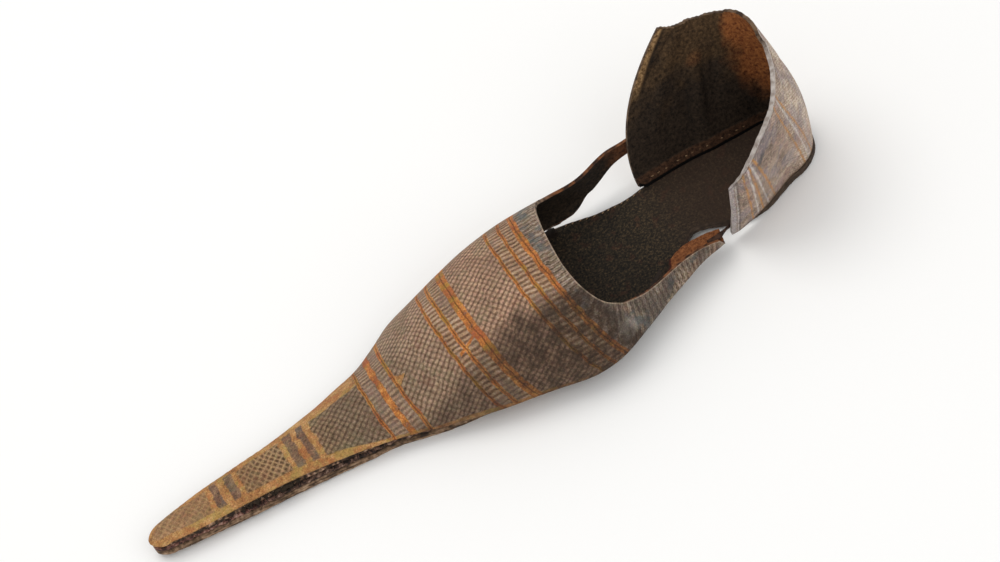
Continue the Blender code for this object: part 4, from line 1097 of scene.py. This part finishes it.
def grey_calf():
    """Grain side of the quarter: scuffed grey-tan with pink and blue clouds, a fine worn lattice, pale
    ridges, faded yellow lines and a pale rubbed rim."""
    material, add = new_material("scuffed_grey_calf", 0.76, 0.25)
    where = add("TexCoord", out="Object")
    share, rise, around = attribute_parts(add, "wall")
    wear = add("TexNoise", Vector=where, Scale=60.0, Detail=5.0, Roughness=0.65)
    dirt = add("TexNoise", Vector=where, Scale=260.0, Detail=5.0, Roughness=0.75)
    grain = add("TexNoise", Vector=where, Scale=1100.0, Detail=3.0, Roughness=0.7)
    clouds = add("TexNoise", Vector=where, Scale=90.0, Detail=3.0, out="Color")
    bluish, rosy, _ = add("SeparateXYZ", clouds).node.outputs
    height = add("Math MULTIPLY", rise, QUARTER_HEIGHT * 1000.0)
    first = grooves(add, weighted(add, (around, 0.50), (height, 0.40), (dirt, 1.3)))
    second = grooves(add, weighted(add, (around, 0.46), (height, -0.48), (dirt, 1.3)))
    lattice = add("Math MULTIPLY", first, second)
    back = add("MapRange SMOOTHSTEP", share, 0.80, 0.66)
    level = weighted(add, (lattice, 0.20), (wear, 0.8), (dirt, 1.1), (grain, 0.8), (back, 0.22), -1.02)
    color = add("ValToRGB", level, stops=((0.12, "#52443a"), (0.38, "#8a7566"), (0.60, "#ae9986"),
                                          (0.88, "#dac9b6")))
    color = tinted(add, color, "#85808a", bluish, 0.46, 0.60, 0.35)
    color = tinted(add, color, "#a08074", rosy, 0.50, 0.64, 0.40)
    faded = add("MapRange SMOOTHSTEP", dirt, 0.38, 0.58)
    line = slanted_lines(add, weighted(add, share, (dirt, 0.012), -0.006), rise, YELLOW_LINES, 0.5, 0.5)
    ridge = slanted_lines(add, weighted(add, share, (dirt, 0.010), -0.005), rise, PALE_RIDGES, 0.5, 0.5)
    color = add("Mix RGBA", add("Math MULTIPLY", line, weighted(add, (faded, 0.55), 0.35)), color,
                "#b57f42")
    color = add("Mix RGBA", add("Math MULTIPLY", ridge, weighted(add, (faded, 0.5), 0.4)), color, "#ccc0b8")
    spot = off_patch(add, (share, 70.0, -62.0), (rise, 26.0, -20.8), (dirt, 6.0), -3.0)
    color = tinted(add, color, "#43434a", spot, 2.2, 0.2, 0.75)

    # The rubbed hem: blue-grey down the medial front edge, pale along the collar, each behind a dark line.
    front = weighted(add, share, (dirt, 0.010), -0.005)
    color = tinted(add, color, "#b3abaa", front, 0.980, 0.988, 0.6)
    color = add("Mix RGBA", add("Math MULTIPLY", stripe(add, front, 0.970, 0.977, 0.003), 0.6), color,
                "#4f4640")
    color = add("Mix RGBA", add("Math MULTIPLY", stripe(add, rise, 0.955, 0.968, 0.006), 0.5), color,
                "#51463f")
    color = tinted(add, color, "#b5ada7", rise, 0.972, 0.985, 0.7)
    # Darker brown towards the foot of the quarter.
    darker_towards_foot = add("MapRange SMOOTHSTEP", weighted(add, rise, (dirt, 0.10)), 0.090, 0.060, 0.0, 0.7)
    color = add("Mix RGBA", darker_towards_foot, color, "#5a4230")
    color = mottled(add, color, where, 0.4, 0.14)
    relief = weighted(add, (lattice, 0.16), (ridge, 0.50), (line, -0.25), (dirt, 0.5), (grain, 0.2))
    return put_on(material, add, color, relief, 0.001)


def quarter_flesh():
    """Flesh side of the quarter: nearly black and fibrous, browner to the collar, rust at the back, a tan
    strip down the front edge and a red-brown strip over the seam, with painted shade in its creases and in
    the fold by the front edge."""
    material, add = new_material("quarter_flesh_side", 0.86, 0.2)
    where = add("TexCoord", out="Object")
    share, rise, around = attribute_parts(add, "wall")
    fibre = add("TexNoise", Vector=where, Scale=600.0, Detail=4.0, Roughness=0.7)
    cloud = add("TexNoise", Vector=where, Scale=70.0, Detail=4.0)
    bright = add("MapRange", fibre, 0.34, 0.68)
    low = add("Mix RGBA", bright, "#18110c", "#423529")
    high = add("Mix RGBA", bright, "#291d10", "#644c33")
    up = add("MapRange SMOOTHSTEP", weighted(add, rise, (cloud, 1.1), -0.55), 0.45, 0.95)
    color = add("Mix RGBA", up, low, high)
    rust = add("Mix RGBA", bright, "#63311a", "#b8743f")
    off = off_patch(add, (share, 12.5, -5.45), (rise, 2.2, -1.55), (cloud, 3.0), -1.5)
    color = tinted(add, color, rust, off, 1.7, 0.1)
    small = off_patch(add, (share, 30.0, -7.2), (rise, 14.0, -10.1), (cloud, 2.0), -1.0)
    color = tinted(add, color, rust, small, 1.4, 0.0, 0.22)

    # Creases up the lateral side, bumped in, with painted shade darkening them nearly to black.
    creases = []
    for foot, lean, start, end in CREASE_LINES:
        line = slanted_lines(add, weighted(add, share, (cloud, 0.04), -0.02), rise, ((foot, lean),), 1.0, 2.4)
        creases.append(add("Math MULTIPLY", line, stripe(add, rise, start, end, 0.1)))
    # Painted shade: the creases are darkened nearly to black.
    color = add("Mix RGBA", add("Math MULTIPLY", weighted(add, *creases), 0.6), color, "#0a0705")

    # The tan strip down the front edge with painted shade in the fold beside it, and the strip over the seam.
    ragged = weighted(add, around, (fibre, 4.0), -2.0)
    tan = add("Mix RGBA", add("MapRange", fibre, 0.38, 0.62), "#5c4128", "#c29a6a")
    strip = limited(add, add("MapRange SMOOTHSTEP", ragged, 6.5, 4.0), rise, 0.56, 0.74, 0.0, 0.8)
    color = add("Mix RGBA", strip, color, tan)
    # Painted shade: a near-black line in the fold beside the tan strip.
    painted_fold_shade = add("Math MULTIPLY", stripe(add, ragged, 6.5, 8.5, 1.5), add("MapRange", rise, 0.5, 0.7, 0.0, 0.6))
    color = add("Mix RGBA", painted_fold_shade, color, "#0c0805")
    over_seam = add("MapRange SMOOTHSTEP", weighted(add, rise, (cloud, 0.03)), 0.115, 0.095, 0.0, 0.75)
    color = add("Mix RGBA", over_seam, color, add("Mix RGBA", bright, "#2c1d14", "#6e4c36"))
    color = tinted(add, color, "#050302", rise, 0.022, 0.012)
    relief = weighted(add, fibre, (add("MapRange SMOOTHSTEP", rise, 0.10, 0.085), 0.8),
                      (weighted(add, *creases), -0.8))
    return put_on(material, add, color, relief, 0.0008)


def make_quarter():
    along, rise = np.meshgrid(np.linspace(0.0, 1.0, QUARTER_COLUMNS), np.linspace(0.0, 1.0, QUARTER_ROWS))
    grid = quarter_point(along, rise)
    run = along * SEAM_LENGTH
    grid[:, :, 2] += 0.0005 * ripple(run, 41, (23.0, 9.0, 4.1)) * rise ** 6
    grid[:, :, 2] += NOTCH_HEIGHT * np.exp(-(run / 2.2) ** 2 - (rise * QUARTER_HEIGHT / 0.003) ** 2)
    normals = grid_normals(grid)
    outward = 1.0 if normals[QUARTER_ROWS // 2, 0, 1] < 0.0 else -1.0
    swell = crease_depth(QUARTER_FOLDS, along * 100.0, rise * 100.0)
    outer = grid - outward * normals * swell[..., None]
    inner = outer - outward * grid_normals(outer) * QUARTER_WALL
    inner[0, :, 2] = outer[0, :, 2]
    wall = np.stack([along, rise, run], -1)
    edge = cut_edge("quarter_cut_edge", "#8b7f77", "#b5aca5", ("wall", 0.66, 0.56, "#33251b", "#6a5440"))
    materials = (grey_calf(), quarter_flesh(), edge)
    quarter = shell_piece("quarter_calf", outer, inner, materials, {"wall": wall})
    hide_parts("quarter")
    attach(quarter, "root")


make_quarter()


# Thread. Waxed linen thread, dark across the seam of the forepart and paler where it shows inside the
# quarter and on the lateral edge of the waist. It was sewn by hand, and is left in short worn bits.
SEAT_STITCH_PITCH = 0.0039
WAIST_STITCH_PITCH = 0.0035
STRAY = 0.0003               # how far a bit lies from its even place
FOREPART_INSET = 0.0011      # from the sole's edge to the middle of a bit over the rand
WAIST_INSET = 0.0015         # the same on the lateral edge of the waist
SEAT_STITCH_RISE = 0.052     # share of the quarter's height
SEWN_BITS_LEFT = 0.85        # share of the forepart's bits that have not worn away


def waxed_thread(name, dark, pale):
    """Waxed linen thread: matt, with fibres that catch the light along each bit."""
    material, add = new_material(name, 0.7, 0.3)
    where = add("TexCoord", out="Object")
    fibre = add("TexNoise", Vector=where, Scale=900.0, Detail=3.0)
    color = add("Mix RGBA", add("MapRange", fibre, 0.38, 0.62), dark, pale)
    return put_on(material, add, color, fibre, 0.0002)


def thread_tree(material):
    """Lays a small drop-shaped bit of thread on each point, turned to the point's own direction."""
    tree = bpy.data.node_groups.new("sewn_thread", "GeometryNodeTree")
    tree.is_modifier = True
    for label, side, kind in (("Geometry", "INPUT", "Geometry"), ("Length", "INPUT", "Float"),
                              ("Thickness", "INPUT", "Float"), ("Seed", "INPUT", "Int"),
                              ("Geometry", "OUTPUT", "Geometry")):
        tree.interface.new_socket(label, in_out=side, socket_type="NodeSocket" + kind)
    add = partial(add_node, tree)
    given = add("NodeGroupInput").node.outputs
    bit = add("GeometryNodeMeshUVSphere", Segments=6, Rings=5, Radius=0.5)
    lie = add("GeometryNodeInputNamedAttribute", data_type="FLOAT_VECTOR", Name="lie")
    turn = add("FunctionNodeAlignRotationToVector", axis="Z", Vector=lie)
    chance = add("FunctionNodeRandomValue", 0.65, 1.15, Seed=given["Seed"])
    size = add("CombineXYZ", given["Thickness"], given["Thickness"],
               add("Math MULTIPLY", given["Length"], chance))
    laid = add("GeometryNodeInstanceOnPoints", Points=given["Geometry"], Instance=bit, Rotation=turn,
               Scale=size)
    whole = add("GeometryNodeRealizeInstances", laid)
    add("NodeGroupOutput", add("GeometryNodeSetMaterial", Geometry=whole, Material=material))
    return tree


def sew(name, places, material, length, thickness, seed):
    """One piece of thread bits from (point, direction) pairs."""
    source = make_piece(name + "_places", [p for p, lie in places], [], (),
                        attributes={"lie": [lie for p, lie in places]})
    modifier = source.modifiers.new("thread", "NODES")
    modifier.node_group = thread_tree(material)
    for item in modifier.node_group.interface.items_tree:
        sizes = {"Length": length, "Thickness": thickness, "Seed": seed}
        if item.in_out == "INPUT" and item.name in sizes:
            modifier[item.identifier] = sizes[item.name]
    bpy.context.view_layer.update()
    laid = source.evaluated_get(bpy.context.evaluated_depsgraph_get())
    mesh = bpy.data.meshes.new_from_object(laid)
    bpy.data.objects.remove(source)
    mesh.shade_smooth()
    piece = bpy.data.objects.new(name, mesh)
    bpy.context.collection.objects.link(piece)
    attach(piece, "root")


def forepart_bits():
    """Bits across the rand, down from the vamp to the sole's edge."""
    chance = np.random.default_rng(61)
    bits = []
    for side, start, end in ((0, 0.078, 0.318), (1, 0.100, 0.300)):
        inward = -1.0 if side == 0 else 1.0
        for x in np.arange(start, end, STITCH_PITCH):
            x = x + chance.normal(0.0, STRAY)
            y = sole_edges(x)[side] + inward * FOREPART_INSET
            lie = (chance.normal(0.25, 0.2), -0.75 * inward, -0.55)
            if chance.random() < SEWN_BITS_LEFT:
                bits.append(((x, y, float(rand_top(x)) + 0.0001), lie))
    return bits


def loose_bits():
    """Ends of thread that have come out of the seam near the point."""
    ends = []
    for x, out, lie in ((0.2710, 0.0004, (-0.9, 0.5, 0.1)), (0.2790, 0.0006, (0.8, 0.5, -0.2)),
                        (0.2960, 0.0002, (0.9, 0.35, 0.1))):
        ends.append(((x, sole_edges(x)[0] + out, float(rand_top(x)) - 0.0008), lie))
    return ends


def pale_bits():
    """Bits along the foot of the quarter's lateral side, inside, and along the lateral edge of the waist."""
    chance = np.random.default_rng(67)
    bits = []
    for along in np.arange(0.05, 0.36, SEAT_STITCH_PITCH * 1000.0 / SEAM_LENGTH):
        pair = np.array((along, along + 0.004))
        here, ahead = quarter_point(pair, np.full(2, SEAT_STITCH_RISE))
        run = (ahead - here) / np.linalg.norm(ahead - here)
        inward = np.array((-run[1], run[0], 0.0))
        inward *= np.sign(np.dot(inward, -here))
        point = here + inward * (QUARTER_WALL + 0.0001) + chance.normal(0.0, 0.0002, 3)
        bits.append((point, run + (0.0, 0.0, chance.normal(0.0, 0.3))))
    for x in np.arange(0.046, 0.086, WAIST_STITCH_PITCH):
        x = x + chance.normal(0.0, STRAY)
        point = (x, sole_edges(x)[1] + WAIST_INSET, float(floor_line(x)) + SOLE_THICKNESS + 0.0001)
        bits.append((point, (1.0, 0.3, 0.0)))
    return bits


dark_thread = waxed_thread("dark_waxed_thread", "#1f1410", "#5a4032")
sew("forepart_thread", forepart_bits(), dark_thread, 0.0030, 0.0006, 5)
sew("loose_thread", loose_bits(), dark_thread, 0.0070, 0.0004, 9)
sew("pale_thread", pale_bits(), waxed_thread("pale_waxed_thread", "#6e5239", "#b39470"), 0.0017, 0.0006, 7)


# Side thong. A short flat thong of dark calf between the medial wing and the quarter.
thong_material = cut_edge("dark_thong_calf", "#1c120d", "#452d20")
thong = bpy.data.objects["side_thong"]
for slot in thong.material_slots:
    slot.material = thong_material
